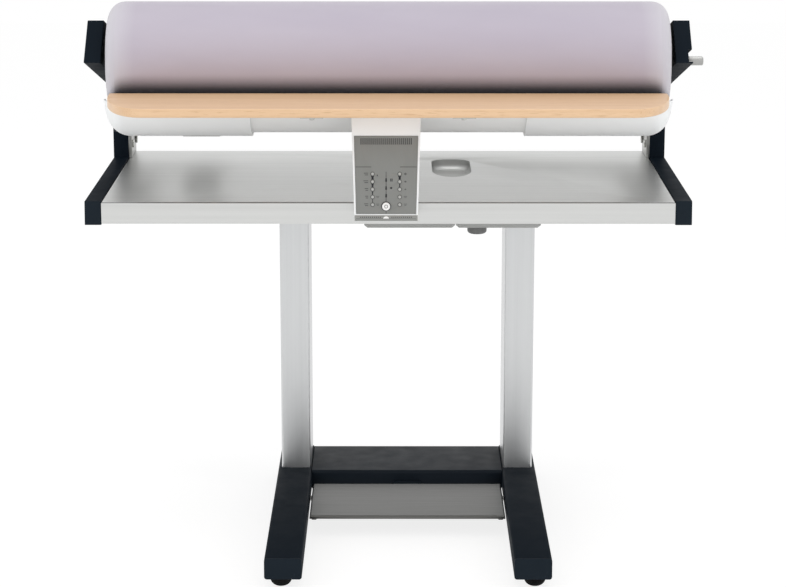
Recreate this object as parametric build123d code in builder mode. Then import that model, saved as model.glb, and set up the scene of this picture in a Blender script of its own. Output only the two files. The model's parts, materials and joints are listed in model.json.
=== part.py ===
from build123d import *
from math import cos, radians, sin, sqrt, tan
import os

# Free-standing flatwork ironer: a padded roller between two C-shaped side frames, a heated
# shoe that swings up under it, a wooden feed board, a steel linen tray and a two-column stand.
# Millimetres. +X is the user's right, +Y the back, +Z up. Origin: middle of the footprint,
# on the floor.

os.makedirs("parts", exist_ok=True)

# ---------------------------------------------------------------- driving dimensions
crank_reach = 24.0  # hexagonal crank stub, beyond the right side frame
stand_offset = 29.5  # middle of the stand, right of the middle of the head
slide_gap = 0.3  # between faces that lie on each other and are not welded
running_gap = 0.05  # radial, a shaft in its bore

# Stand
foot_height = 17.0
foot_radius = 16.0
foot_rim = 3.0  # upright part of the foot's edge
foot_flare = 24.0  # degrees, how steeply its dome leaves the tread
foot_tread_radius = 9.0
foot_inset = 30.0  # from the end of a leg to the middle of its foot
foot_outset = 4.0  # outwards from the middle of its leg
stud_radius = 5.0
stud_length = 22.0
bush_radius = 8.0
bush_length = 17.0
leg_length = 592.0
leg_width = 55.5
leg_height = 32.0
leg_wall = 2.5
leg_edge = 4.0
leg_spacing = 368.0  # between the middles of the two legs
leg_cap = 4.0
cap_plug = 12.0
crossbeam_depth = 146.0
crossbeam_edge = 5.0
column_setback = 268.0  # behind the front of the tray, as the other setbacks are
column_spacing = 365.0  # between the middles of the two columns
column_width = 47.4
column_depth = 128.0
column_wall = 2.0
column_edge = 3.0
head_plate = 4.0
head_plate_margin = 10.0
head_bolt_radius = 4.0
head_bolt_hex = 6.4  # corner radius of the bolts' heads and nuts
head_bolt_head = 5.0
head_bolt_inset = 6.0
bolt_hole_gap = 0.2

# Pedal
pedal_rear_gap = 32.0  # to the crossbeam behind it
pedal_depth = 170.0
pedal_top = 37.0
pedal_skirt = 16.0
pedal_lip = 5.0  # depth of the fold along its front
pedal_lip_run = 24.0  # where the side flanges begin to deepen
pedal_sheet = 2.0
pedal_edge = 3.0
pedal_side_gap = 3.0
pedal_pin_inset = 118.0  # behind the pedal's front
pedal_pin_drop = 8.5  # below the pedal's top
pedal_pin_radius = 3.0
pedal_pin_length = 16.0
pedal_bush_wall = 1.5
pedal_bush_length = 11.0
pedal_tip = (8.0, 14.0)
pedal_tip_drop = 2.5  # below the front fold
switch_size = (46.0, 12.0)
switch_corner = 2.0
switch_gap = 3.0  # behind the pedal
switch_lever = (12.0, 16.0, 1.2)

# Tray and what hangs under it
tray_depth = 468.0
tray_top = 545.0
tray_lip = 33.0
tray_sheet = 1.5
tray_bend = 2.5
recess_offset = 101.0  # right of the middle of the head
recess_setback = 216.0
recess_length = 167.0
recess_width = 63.0
recess_depth = 17.0
recess_front_length = 59.0  # the half-ellipse at its front end
recess_corner = 25.0
recess_round = 10.0  # where the recess's wall meets its floor
recess_sheet = 1.0
recess_flange = 7.0
beam_height = 30.0
beam_margin = 5.0  # beyond the head plates, in front and behind
beam_wall = 2.5
beam_drop = 21.0  # top of the head beam below the tray's surface
box_setback = 60.0
box_depth = 148.0
box_drop = 52.0  # their floors below the tray's surface
box_split = 102.5  # seam between the two boxes, right of the middle of the head
electronics_width = 139.5
terminal_width = 130.5
box_sheet = 1.5
box_bevel = 5.0
box_seam = 1.0
gland_offset = 137.0
gland_setback = 112.0
gland_radius = 15.0
gland_drop = 17.5
gland_neck_radius = 10.0
gland_bore_radius = 4.5
gland_round = 5.0
gland_thread = 8.0  # inside the terminal box

# Side frames
frame_thickness = 25.0
frame_wall = 2.5
lower_arm_height = 36.0
lower_arm_drop = 35.0  # its underside below the tray's surface
lower_arm_lean = 3.0  # how far its front leans back
post_depth = 73.0
arm_depth = 70.0
arm_slope = 14.0  # degrees, rising towards the user
arm_under_drop = 18.6  # underside of the upper arm below the roller's axis, at the setback
arm_under_setback = 140.0
nose_reach = 76.0  # lower corner of the nose, in front of the roller's axis
nose_angle = 42.0  # degrees, front face of the nose above the horizontal
nose_corner = 12.0
nose_chamfer = 8.0
frame_back_corner = 45.0
frame_inner_corner = 20.0
arm_cap = 4.0
solid_nose_length = 40.0  # behind the roller's axis

# Roller
roller_length = 850.0
roller_side_gap = 6.0
roller_radius = 90.0
roller_end_radius = 25.0
roller_setback = 115.0
roller_rise = 93.0  # its axis above the pivots
cloth_thickness = 2.0
cloth_mouth_radius = 45.0
tube_radius = 75.0
tube_wall = 2.0
tube_end_inset = 5.5
disc_thickness = 12.0
disc_pockets = 6
disc_pocket_circle = 46.0
disc_pocket_radius = 13.0
disc_pocket_depth = 7.2
motor_shaft_radius = 10.0
motor_shaft_grip = 20.0  # length of the fixed shaft inside the left side frame
hub_bearing_radius = 19.0
crank_shaft_radius = 6.5
crank_shaft_root = 10.0  # inwards of the right end disc
crank_flats = 13.0
crank_chamfer = 1.5
bearing_radius = 10.0
bearing_width = 12.0
shaft_hole_gap = 1.0  # radial, round the crank shaft beyond its bearing
crank_pocket_depth = 6.0
crank_pocket_width = 20.0
motor_radius = 40.0
motor_length = 275.0
motor_inset = 30.0  # motor can, inside the roller's left end
crown_thickness = 15.0
crown_gap = 4.0  # between the motor and the crown's web
crown_shaft_radius = 8.0
crown_shaft_length = 15.0
crown_holes = 5
crown_hole_radius = 14.0

# Heated shoe and its pivot
shoe_open_angle = 1.5  # degrees, the shoe hangs this far below its working place
shoe_close_gap = 1.0  # between roller and shoe when it is up
shoe_plate_thickness = 4.0
shoe_end_inset = 20.0  # from the roller's end to the shoe's
heater_thickness = 1.6
heater_end_inset = 15.0  # from the shoe's end to the heater's
heater_margin = 4.0  # its edges end this far below the shoe's edges
insulation_thickness = 1.8
insulation_margin = 2.0
casing_thickness = 1.5
layer_gap = 0.2
cover_radius = 106.0
cover_wall = 3.0
cover_end_radius = 35.0
cover_length = 221.0
cover_end_gap = 2.5  # to the side frames
cover_rib = 3.0
pivot_setback = 431.0
pivot_radius = 6.0
pivot_plate = 5.0
pivot_plate_rise = 22.0  # above the pivot's axis
pivot_plate_margin = 2.0  # in front of the side frame's back
pivot_shoulder = 20.0  # flat top of the plate in front of the pivot
lift_lug = 16.0  # half the height of the plate's lug round the lift shaft
lift_lug_nose = 14.0
lift_lug_root = 30.0  # its root on the post, below the lift shaft
pivot_pin_reach = 2.0  # beyond the arm's hub
pivot_collar_radius = 9.6
pivot_collar = 3.0
plate_bolt_radius = 4.0
plate_bolt_hex = 6.8
plate_bolt_head = 3.5
plate_bolt_inset = (13.0, -23.0)  # from the post's faces, and from the crossbar's
shoe_arm_thickness = 8.0
shoe_arm_inset = 31.0  # from a side frame to the middle of the arm beside it
shoe_arm_hub_radius = 17.0
shoe_arm_hub_length = 34.0
shoe_arm_tube_radius = 12.75
shoe_arm_drop = 5.0  # its flat underside below the pivot's axis
shoe_arm_wall = 2.0  # under the lowest line of the casing
cradle_front = 20.0  # behind the lowest line of the casing
cradle_height = 47.0  # above its lowest point
shoulder_setback = 130.0  # highest point of the arm, behind the same line
shoulder_drop = 47.5  # below the shoe's centre line, as the next drop is
knee_setback = 88.0  # where the underside levels off
knee_drop = 90.0
shoe_arm_depth = 38.5  # over the cam
arm_slot_gap = 2.0
arm_slot_front = 12.0
lift_setback = 300.0
lift_shaft_radius = 6.0
cam_radius = 12.0
cam_turn = 120.0  # degrees of shaft that lift the shoe all the way
cam_width = 10.0
crossbar_rise = 45.0  # above the tray, which leaves room for the lift gearbox
crossbar_height = 30.0
crossbar_depth = 40.0
crossbar_gap = 13.0  # under the hubs of the shoe's arms
crossbar_wall = 2.5
crossbar_corner = 3.0
gearbox_size = 56.0
gearbox_corner = 6.0
gearbox_width = 60.0
gearbox_offset = 300.0  # left of the middle of the head
motor_can_radius = 22.0
motor_can_length = 84.0
bracket_sheet = 4.0

# Feed board
board_rear_setback = 25.0
board_depth = 160.0
board_end_inset = 8.0  # from the roller's end to the board's
board_corner = 63.0  # along the length; the corner takes nearly the whole depth
board_side_straight = 6.0
board_thickness = 13.0
board_drop = 37.0  # its top below the roller's axis
board_edge = 2.0
bracket_spacing = 220.0
bracket_width = 34.0
bracket_lead = 12.0  # in front of its bolt
rib_start = 30.0  # behind the bracket's front edge
rib_depth = 20.0
rib_root = 6.0  # behind the front edge of the casing
casing_inboard = 60.0  # in front of the casing's lowest line; ribs and neck end inside it
bolt_inset = 33.0  # behind the board's front edge
dome_radius = 4.5
dome_height = 4.0
dome_round = 2.8
bolt_shank_radius = 2.7

# Console
console_offset = -3.0
fascia_setback = -54.0
fascia_drop = 147.0  # its middle below the roller's axis
fascia_tilt = 3.0  # degrees, facing up
fascia_top_width = 94.5
fascia_bottom_width = 88.5
fascia_height = 116.0
fascia_thickness = 2.5
fascia_fit = 0.2
console_border = 3.0
console_depth = 43.0
console_wall = 2.5
console_foot = 11.0
neck_width = 96.0
neck_drop = 91.0  # its underside below the roller's axis
neck_lap = 2.0  # the neck starts this far inside the housing's back
vent_count = 26
vent_pitch = 2.95
vent_size = (1.4, 9.5)
vent_drop = 8.2  # middle of the slots below the top of the fascia
lamp_columns = (-20.0, 20.0)
lamp_rows = 5
lamp_pitch = 11.4
lamp_first_drop = 56.4
lamp_radius = 2.1
lamp_length = 3.2
lamp_proud = 0.5
button_radius = 5.9
button_drop = 104.5
button_proud = 2.4
button_length = 7.0
button_flange = 1.2
button_travel = 1.5
button_ring = (1.9, 2.65)  # radii of the groove in its face
button_ring_depth = 0.5
standoff_radius = 2.5
standoff_length = 10.0
standoff_inset = 7.0
circuit_thickness = 1.6
circuit_margin = 4.0  # beyond the standoffs
terminal_row = (52.0, 12.0)
terminal_rise = 22.0  # above the middle of the circuit board
chip_size = 18.0
chip_drop = 12.0
circuit_parts_height = 7.0
push_switch_size = 7.0
trim_height = 8.6
trim_margin = 0.3
trim_rise = 0.6  # above the foot of the housing
trim_thickness = 1.5
trim_chamfer = 1.0

# ---------------------------------------------------------------- places worked out from them
stand_rear_setback = column_setback + column_depth + leg_cap
overall_depth = tray_depth + leg_length - stand_rear_setback
front_y = -overall_depth / 2
back_y = overall_depth / 2
head_x = -crank_reach / 2
stand_x = head_x + stand_offset
tray_front = back_y - tray_depth
inner_half = roller_length / 2 + roller_side_gap
outer_half = inner_half + frame_thickness
frame_middle = (inner_half + outer_half) / 2
leg_top = foot_height + leg_height
leg_gap = leg_spacing - leg_width
column_front = tray_front + column_setback
column_rear = column_front + column_depth
crossbeam_front = column_rear - crossbeam_depth
beam_top = tray_top - beam_drop
beam_bottom = beam_top - beam_height
roller_y = tray_front + roller_setback
pivot_y = tray_front + pivot_setback
lift_y = tray_front + lift_setback
post_front = back_y - post_depth
lower_arm_bottom = tray_top - lower_arm_drop
lower_arm_top = lower_arm_bottom + lower_arm_height
box_bottom = tray_top - box_drop
board_rear = tray_front + board_rear_setback
board_front = board_rear - board_depth
crossbar_front = back_y - crossbar_depth - pivot_plate_margin - frame_wall
crossbar_bottom = tray_top + crossbar_rise
pivot_height = crossbar_bottom + crossbar_height + crossbar_gap + shoe_arm_hub_radius
roller_height = pivot_height + roller_rise
arm_under_height = roller_height - arm_under_drop
board_top = roller_height - board_drop
board_bottom = board_top - board_thickness
fascia_middle_height = roller_height - fascia_drop
neck_bottom = roller_height - neck_drop
shoe_length = roller_length - 2 * shoe_end_inset
heater_length = shoe_length - 2 * heater_end_inset
board_length = roller_length - 2 * board_end_inset
shoe_arm_spacing = inner_half - shoe_arm_inset
drop = radians(shoe_open_angle)
# The shoe's own centre line, which comes onto the roller's axis when the shoe is up.
shoe_y = pivot_y + (roller_y - pivot_y) * cos(drop) - (roller_height - pivot_height) * sin(drop)
shoe_z = pivot_height + (roller_y - pivot_y) * sin(drop) + (roller_height - pivot_height) * cos(drop)
shoe_inner = roller_radius + shoe_close_gap
heater_inner = shoe_inner + shoe_plate_thickness + layer_gap
insulation_inner = heater_inner + heater_thickness + layer_gap
casing_inner = insulation_inner + insulation_thickness + layer_gap
casing_outer = casing_inner + casing_thickness
shell_top = board_bottom - slide_gap
shoe_arm_under = pivot_height - shoe_arm_drop
lift_z = shoe_arm_under - slide_gap - cam_radius


def export(part, name):
    """Labels a finished piece and writes its file."""
    part.label = name
    export_step(part, f"parts/{name}.step")


def standing(y):
    """The upright plane at this Y, seen from the front: local x is X and local y is Z."""
    return Plane.XZ.offset(-y)


def profile_plane(x):
    """The side-view plane at this X: local x is Y and local y is Z."""
    return Plane.YZ.offset(x)


def line_height(height, setback, slope, y):
    """Height at y of a line that passes a given point and falls towards the back."""
    return height - (y - tray_front - setback) * tan(radians(slope))


def folded_pan(middle, width, depth, top, height, sheet, bend):
    """A sheet folded down on all four sides, open underneath."""
    with BuildPart() as space:
        with BuildSketch(Plane.XY.offset(top - height)):
            with Locations(middle):
                Rectangle(width - 2 * sheet, depth - 2 * sheet)
        extrude(amount=height - sheet)
        fillet(space.edges().group_by(Axis.Z)[-1], radius=bend - sheet)
    with BuildPart() as pan:
        with BuildSketch(Plane.XY.offset(top - height)):
            with Locations(middle):
                Rectangle(width, depth)
        extrude(amount=height)
        fillet(pan.edges().group_by(Axis.Z)[-1], radius=bend)
        add(space.part, mode=Mode.SUBTRACT)
    return pan.part


# ---------------------------------------------------------------- stand
leg_front = front_y
leg_middle = foot_height + leg_height / 2
foot_places = [
    (stand_x + side * (leg_spacing / 2 + foot_outset), y)
    for y in (leg_front + foot_inset, leg_front + leg_length - foot_inset)
    for side in (-1, 1)
]

for side, leg_name in ((-1, "left_leg"), (1, "right_leg")):
    leg_x = stand_x + side * leg_spacing / 2
    with BuildPart() as leg:
        with BuildSketch(standing(leg_front + leg_cap)):
            with Locations((leg_x, leg_middle)):
                RectangleRounded(leg_width, leg_height, leg_edge)
                RectangleRounded(
                    leg_width - 2 * leg_wall,
                    leg_height - 2 * leg_wall,
                    leg_edge - leg_wall,
                    mode=Mode.SUBTRACT,
                )
        extrude(amount=-(leg_length - 2 * leg_cap))
        with BuildSketch(Plane.XY.offset(foot_height)):
            with Locations(*[place for place in foot_places if side * (place[0] - stand_x) > 0]):
                Circle(bush_radius)
        extrude(amount=leg_wall, mode=Mode.SUBTRACT)
    export(leg.part, leg_name)

# Moulded caps with a plug that closes each end of the leg tubes.
with BuildPart() as leg_caps:
    for cap_y, inward in ((leg_front, -1), (leg_front + leg_length, 1)):
        with BuildSketch(standing(cap_y)):
            with Locations(*[(stand_x + side * leg_spacing / 2, leg_middle) for side in (-1, 1)]):
                RectangleRounded(leg_width, leg_height, leg_edge)
        extrude(amount=inward * leg_cap)
        with BuildSketch(standing(cap_y - inward * leg_cap)):
            with Locations(*[(stand_x + side * leg_spacing / 2, leg_middle) for side in (-1, 1)]):
                RectangleRounded(
                    leg_width - 2 * leg_wall - 2 * slide_gap,
                    leg_height - 2 * leg_wall - 2 * slide_gap,
                    leg_edge - leg_wall,
                )
        extrude(amount=inward * cap_plug)
export(leg_caps.part, "leg_caps")

with BuildPart() as foot_bushes:
    with BuildSketch(Plane.XY.offset(foot_height)):
        with Locations(*foot_places):
            Circle(bush_radius)
            Circle(stud_radius + running_gap, mode=Mode.SUBTRACT)
    extrude(amount=bush_length)
export(foot_bushes.part, "foot_bushes")

# Each levelling foot is a rubber dome moulded on the head of a threaded stud.
foot_names = ("front_left_foot", "front_right_foot", "rear_left_foot", "rear_right_foot")
foot_shoulder = foot_height - slide_gap - foot_rim
for foot_name, (foot_x, foot_y) in zip(foot_names, foot_places):
    with BuildPart() as foot:
        with BuildSketch(Plane(origin=(foot_x, foot_y, 0), x_dir=(1, 0, 0), z_dir=(0, -1, 0))):
            with BuildLine():
                Polyline((0, foot_height - slide_gap), (0, 0), (foot_tread_radius, 0))
                TangentArc(
                    (foot_tread_radius, 0),
                    (foot_radius, foot_shoulder),
                    tangent=(cos(radians(foot_flare)), sin(radians(foot_flare))),
                )
                Polyline(
                    (foot_radius, foot_shoulder),
                    (foot_radius, foot_height - slide_gap),
                    (0, foot_height - slide_gap),
                )
            make_face()
        revolve(axis=Axis((foot_x, foot_y, 0), (0, 0, 1)))
        with BuildSketch(Plane.XY.offset(foot_height - slide_gap)):
            with Locations((foot_x, foot_y)):
                Circle(stud_radius)
        extrude(amount=stud_length)
    export(foot.part, foot_name)

with BuildPart() as crossbeam:
    with BuildSketch(profile_plane(stand_x - leg_gap / 2)):
        with Locations((crossbeam_front + crossbeam_depth / 2, leg_middle)):
            RectangleRounded(crossbeam_depth, leg_height, crossbeam_edge)
            RectangleRounded(
                crossbeam_depth - 2 * leg_wall,
                leg_height - 2 * leg_wall,
                crossbeam_edge - leg_wall,
                mode=Mode.SUBTRACT,
            )
    extrude(amount=leg_gap)
export(crossbeam.part, "crossbeam")

column_middle_y = column_front + column_depth / 2
plate_width = column_width + 2 * head_plate_margin
plate_depth = column_depth + 2 * head_plate_margin
bolt_grid = (plate_width - 2 * head_bolt_inset, plate_depth - 2 * head_bolt_inset)
for side, column_name in ((-1, "left_column"), (1, "right_column")):
    column_x = stand_x + side * column_spacing / 2
    with BuildPart() as column:
        with BuildSketch(Plane.XY.offset(leg_top)):
            with Locations((column_x, column_middle_y)):
                RectangleRounded(column_width, column_depth, column_edge)
                RectangleRounded(
                    column_width - 2 * column_wall,
                    column_depth - 2 * column_wall,
                    column_edge - column_wall / 2,
                    mode=Mode.SUBTRACT,
                )
        extrude(amount=beam_bottom - head_plate - leg_top)
        with BuildSketch(Plane.XY.offset(beam_bottom - head_plate)):
            with Locations((column_x, column_middle_y)):
                RectangleRounded(plate_width, plate_depth, column_edge)
            with Locations((column_x, column_middle_y)):
                with GridLocations(*bolt_grid, 2, 2):
                    Circle(head_bolt_radius + bolt_hole_gap, mode=Mode.SUBTRACT)
        extrude(amount=head_plate)
    export(column.part, column_name)

# ---------------------------------------------------------------- head beam and its bolts
beam_half = inner_half - slide_gap - tray_sheet
beam_depth = plate_depth + 2 * beam_margin
with BuildPart() as head_beam:
    with BuildSketch(profile_plane(head_x - beam_half)):
        with Locations((column_middle_y, (beam_top + beam_bottom) / 2)):
            Rectangle(beam_depth, beam_height)
            Rectangle(beam_depth - 2 * beam_wall, beam_height - 2 * beam_wall, mode=Mode.SUBTRACT)
    extrude(amount=2 * beam_half)
    # End plates, which reach up beside the tray's flanges to be bolted to the lower arms.
    for end_x, inward in ((head_x - beam_half, 1), (head_x + beam_half, -1)):
        with BuildSketch(profile_plane(end_x)):
            with Locations((column_middle_y, beam_bottom)):
                Rectangle(
                    beam_depth,
                    tray_top - tray_bend - slide_gap - beam_bottom,
                    align=(Align.CENTER, Align.MIN),
                )
        extrude(amount=inward * head_plate)
    with BuildSketch(Plane.XY.offset(beam_bottom)):
        for side in (-1, 1):
            with Locations((stand_x + side * column_spacing / 2, column_middle_y)):
                with GridLocations(*bolt_grid, 2, 2):
                    Circle(head_bolt_radius + bolt_hole_gap)
    extrude(amount=beam_wall, mode=Mode.SUBTRACT)
export(head_beam.part, "head_beam")

with BuildPart() as head_bolts:
    for side in (-1, 1):
        bolt_middle = (stand_x + side * column_spacing / 2, column_middle_y)
        with BuildSketch(Plane.XY.offset(beam_bottom - head_plate)):
            with Locations(bolt_middle):
                with GridLocations(*bolt_grid, 2, 2):
                    Circle(head_bolt_radius)
        extrude(amount=head_plate + beam_wall)
        # A head under the plate and a nut inside the beam.
        for level in (beam_bottom - head_plate - head_bolt_head, beam_bottom + beam_wall):
            with BuildSketch(Plane.XY.offset(level)):
                with Locations(bolt_middle):
                    with GridLocations(*bolt_grid, 2, 2):
                        RegularPolygon(head_bolt_hex, 6)
            extrude(amount=head_bolt_head)
export(head_bolts.part, "head_bolts")

# ---------------------------------------------------------------- pedal
pedal_rear = crossbeam_front - pedal_rear_gap
pedal_front = pedal_rear - pedal_depth
pedal_pin_y = pedal_front + pedal_pin_inset
pedal_pin_z = pedal_top - pedal_pin_drop
pedal_width = leg_gap - 2 * pedal_side_gap
pedal_middle = (stand_x, pedal_front + pedal_depth / 2)
with BuildPart() as pedal_plate:
    add(
        folded_pan(
            pedal_middle,
            pedal_width,
            pedal_depth,
            pedal_top,
            pedal_skirt,
            pedal_sheet,
            pedal_edge,
        )
    )
    with BuildSketch(profile_plane(stand_x - pedal_width / 2)):
        with Locations((pedal_pin_y, pedal_pin_z)):
            Circle(pedal_pin_radius + running_gap + pedal_bush_wall)
        # The front fold is narrow, and the side flanges deepen from it towards the pins.
        with BuildLine():
            Polyline(
                (pedal_front, pedal_top - pedal_skirt),
                (pedal_front, pedal_top - pedal_lip),
                (pedal_front + pedal_lip_run, pedal_top - pedal_lip),
                (pedal_pin_y - pedal_lip_run, pedal_top - pedal_skirt),
                close=True,
            )
        make_face()
    extrude(amount=pedal_width, mode=Mode.SUBTRACT)
export(pedal_plate.part, "pedal_plate")

with BuildPart() as pedal_bushes:
    for start, inward in ((stand_x - pedal_width / 2, 1), (stand_x + pedal_width / 2, -1)):
        with BuildSketch(profile_plane(start)):
            with Locations((pedal_pin_y, pedal_pin_z)):
                Circle(pedal_pin_radius + running_gap + pedal_bush_wall)
                Circle(pedal_pin_radius + running_gap, mode=Mode.SUBTRACT)
        extrude(amount=inward * pedal_bush_length)
export(pedal_bushes.part, "pedal_bushes")

pin_collar = pedal_side_gap - 2 * slide_gap
with BuildPart() as pedal_pins:
    for start, inward in ((stand_x - leg_gap / 2, 1), (stand_x + leg_gap / 2, -1)):
        with BuildSketch(profile_plane(start)):
            with Locations((pedal_pin_y, pedal_pin_z)):
                Circle(pedal_pin_radius)
        extrude(amount=inward * pedal_pin_length)
        with BuildSketch(profile_plane(start)):
            with Locations((pedal_pin_y, pedal_pin_z)):
                Circle(pedal_pin_radius + pedal_bush_wall)
        extrude(amount=inward * pin_collar)
export(pedal_pins.part, "pedal_pins")

# Rubber stops under the pedal's front corners, stuck to the underside of its plate.
tip_x = pedal_width / 2 - pedal_edge - pedal_tip[0] / 2
tip_y = pedal_front + pedal_edge + pedal_tip[1] / 2
tip_top = pedal_top - pedal_sheet
with BuildPart() as pedal_tips:
    with BuildSketch(Plane.XY.offset(tip_top)):
        with Locations((stand_x - tip_x, tip_y), (stand_x + tip_x, tip_y)):
            RectangleRounded(pedal_tip[0], pedal_tip[1], switch_corner)
    extrude(amount=-(pedal_lip - pedal_sheet + pedal_tip_drop))
export(pedal_tips.part, "pedal_tips")

lever_bottom = pedal_top - pedal_skirt - slide_gap - switch_lever[2]
with BuildPart() as pedal_switch:
    with BuildSketch(standing(crossbeam_front)):
        with Locations((stand_x, lever_bottom + switch_size[1] / 2)):
            RectangleRounded(switch_size[0], switch_size[1], switch_corner)
    extrude(amount=pedal_rear_gap - switch_gap)
    with BuildSketch(Plane.XY.offset(lever_bottom)):
        with Locations((stand_x, crossbeam_front)):
            Rectangle(
                switch_lever[0],
                pedal_rear_gap + switch_lever[1],
                align=(Align.CENTER, Align.MAX),
            )
    extrude(amount=switch_lever[2])
export(pedal_switch.part, "pedal_switch")

# ---------------------------------------------------------------- tray, recess and boxes
recess_x = head_x + recess_offset
recess_front = tray_front + recess_setback


def recess_outline(margin):
    """The hand recess widened all round: square at the back, a half-ellipse at the front."""
    half = recess_width / 2 + margin
    ellipse_y = recess_front + recess_front_length
    rear = recess_front + recess_length + margin
    with BuildSketch() as outline:
        with BuildLine():
            EllipticalCenterArc(
                (recess_x, ellipse_y),
                half,
                recess_front_length + margin,
                start_angle=180,
                arc_size=180,
            )
            Polyline(
                (recess_x + half, ellipse_y),
                (recess_x + half, rear),
                (recess_x - half, rear),
                (recess_x - half, ellipse_y),
            )
        make_face()
        fillet(outline.vertices().group_by(Axis.Y)[-1], radius=recess_corner + margin)
    return outline.sketch


recess_shape = recess_outline(0.0)
tray_half = inner_half - slide_gap
tray_middle = (head_x, tray_front + tray_depth / 2)
with BuildPart() as tray:
    add(
        folded_pan(
            tray_middle, 2 * tray_half, tray_depth, tray_top, tray_lip, tray_sheet, tray_bend
        )
    )
    with BuildSketch(Plane.XY.offset(tray_top)):
        add(recess_shape)
    extrude(amount=-tray_sheet, mode=Mode.SUBTRACT)
export(tray.part, "tray")

with BuildPart() as cup_space:
    with BuildSketch(Plane.XY.offset(tray_top - tray_sheet)):
        add(recess_shape)
    extrude(amount=-(recess_depth - tray_sheet))
    fillet(cup_space.edges().group_by(Axis.Z)[0], radius=recess_round)
with BuildPart() as recess_cup:
    with BuildSketch(Plane.XY.offset(tray_top - tray_sheet)):
        add(recess_outline(recess_sheet))
    extrude(amount=-(recess_depth - tray_sheet + recess_sheet))
    fillet(recess_cup.edges().group_by(Axis.Z)[0], radius=recess_round + recess_sheet)
    with BuildSketch(Plane.XY.offset(tray_top - tray_sheet)):
        add(recess_outline(recess_flange))
    extrude(amount=-recess_sheet)
    add(cup_space.part, mode=Mode.SUBTRACT)
export(recess_cup.part, "recess_cup")

box_top = tray_top - tray_sheet
gland_place = (head_x + gland_offset, tray_front + gland_setback)
for box_name, low_x, high_x in (
    ("electronics_box", head_x + box_split - electronics_width, head_x + box_split - box_seam / 2),
    ("terminal_box", head_x + box_split + box_seam / 2, head_x + box_split + terminal_width),
):
    box_middle = ((low_x + high_x) / 2, tray_front + box_setback + box_depth / 2)
    with BuildPart() as box_space:
        with BuildSketch(Plane.XY.offset(box_bottom + box_sheet)):
            with Locations(box_middle):
                Rectangle(high_x - low_x - 2 * box_sheet, box_depth - 2 * box_sheet)
        extrude(amount=box_top - box_bottom - box_sheet)
        chamfer(box_space.edges().group_by(Axis.Z)[0], length=box_bevel)
    with BuildPart() as under_box:
        with BuildSketch(Plane.XY.offset(box_bottom)):
            with Locations(box_middle):
                Rectangle(high_x - low_x, box_depth)
        extrude(amount=box_top - box_bottom)
        chamfer(under_box.edges().group_by(Axis.Z)[0], length=box_bevel)
        add(box_space.part, mode=Mode.SUBTRACT)
        if box_name == "terminal_box":
            with BuildSketch(Plane.XY.offset(box_bottom)):
                with Locations(gland_place):
                    Circle(gland_neck_radius)
            extrude(amount=box_sheet, mode=Mode.SUBTRACT)
    export(under_box.part, box_name)

with BuildPart() as mains_gland:
    with BuildSketch(Plane.XY.offset(box_bottom)):
        with Locations(gland_place):
            Circle(gland_radius)
    extrude(amount=-gland_drop)
    fillet(mains_gland.edges().group_by(Axis.Z)[0], radius=gland_round)
    with BuildSketch(Plane.XY.offset(box_bottom)):
        with Locations(gland_place):
            Circle(gland_neck_radius)
    extrude(amount=box_sheet + gland_thread)
    with BuildSketch(Plane.XY.offset(box_bottom - gland_drop)):
        with Locations(gland_place):
            Circle(gland_bore_radius)
    extrude(amount=gland_drop + box_sheet + gland_thread, mode=Mode.SUBTRACT)
export(mains_gland.part, "mains_gland")

# ---------------------------------------------------------------- side frames
nose_y = roller_y - nose_reach
nose_z = line_height(arm_under_height, arm_under_setback, arm_slope, nose_y)
arm_rise = arm_depth / cos(radians(arm_slope))
# Where the front face of the nose meets the top of the arm.
nose_run = arm_rise / (tan(radians(nose_angle)) + tan(radians(arm_slope)))


def frame_outline():
    """Side view of a C-shaped frame: lower arm, post and rising upper arm with its nose."""
    front = tray_front + arm_cap
    under_corner = line_height(arm_under_height, arm_under_setback, arm_slope, post_front)
    top_corner = line_height(arm_under_height, arm_under_setback, arm_slope, back_y) + arm_rise
    nose_top = (nose_y + nose_run, nose_z + nose_run * tan(radians(nose_angle)))
    with BuildSketch(mode=Mode.PRIVATE) as outline:
        with BuildLine():
            Polyline(
                (front, lower_arm_bottom),
                (front + lower_arm_lean, lower_arm_top),
                (post_front, lower_arm_top),
                (post_front, under_corner),
                (nose_y, nose_z),
                nose_top,
                (back_y, top_corner),
                (back_y, lower_arm_bottom),
                close=True,
            )
        make_face()
        corners = outline.vertices()
        fillet(corners.sort_by_distance((back_y, top_corner))[0], radius=frame_back_corner)
        fillet(corners.sort_by_distance((post_front, under_corner))[0], radius=frame_inner_corner)
        fillet(corners.sort_by_distance((nose_y, nose_z))[0], radius=nose_corner)
        chamfer(corners.sort_by_distance(nose_top)[0], length=nose_chamfer)
    return outline.sketch


frame_shape = frame_outline()
with BuildSketch() as frame_cavity:
    offset(frame_shape, amount=-frame_wall)
    # The nose is solid round the roller's bearing; the lower arm stays open at its front.
    with Locations((roller_y + solid_nose_length, roller_height)):
        Rectangle(
            2 * overall_depth,
            2 * arm_depth,
            align=(Align.MAX, Align.CENTER),
            mode=Mode.SUBTRACT,
        )
    with Locations((tray_front, lower_arm_bottom + frame_wall)):
        Rectangle(
            2 * cap_plug,
            lower_arm_height - 2 * frame_wall,
            align=(Align.MIN, Align.MIN),
        )

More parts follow.
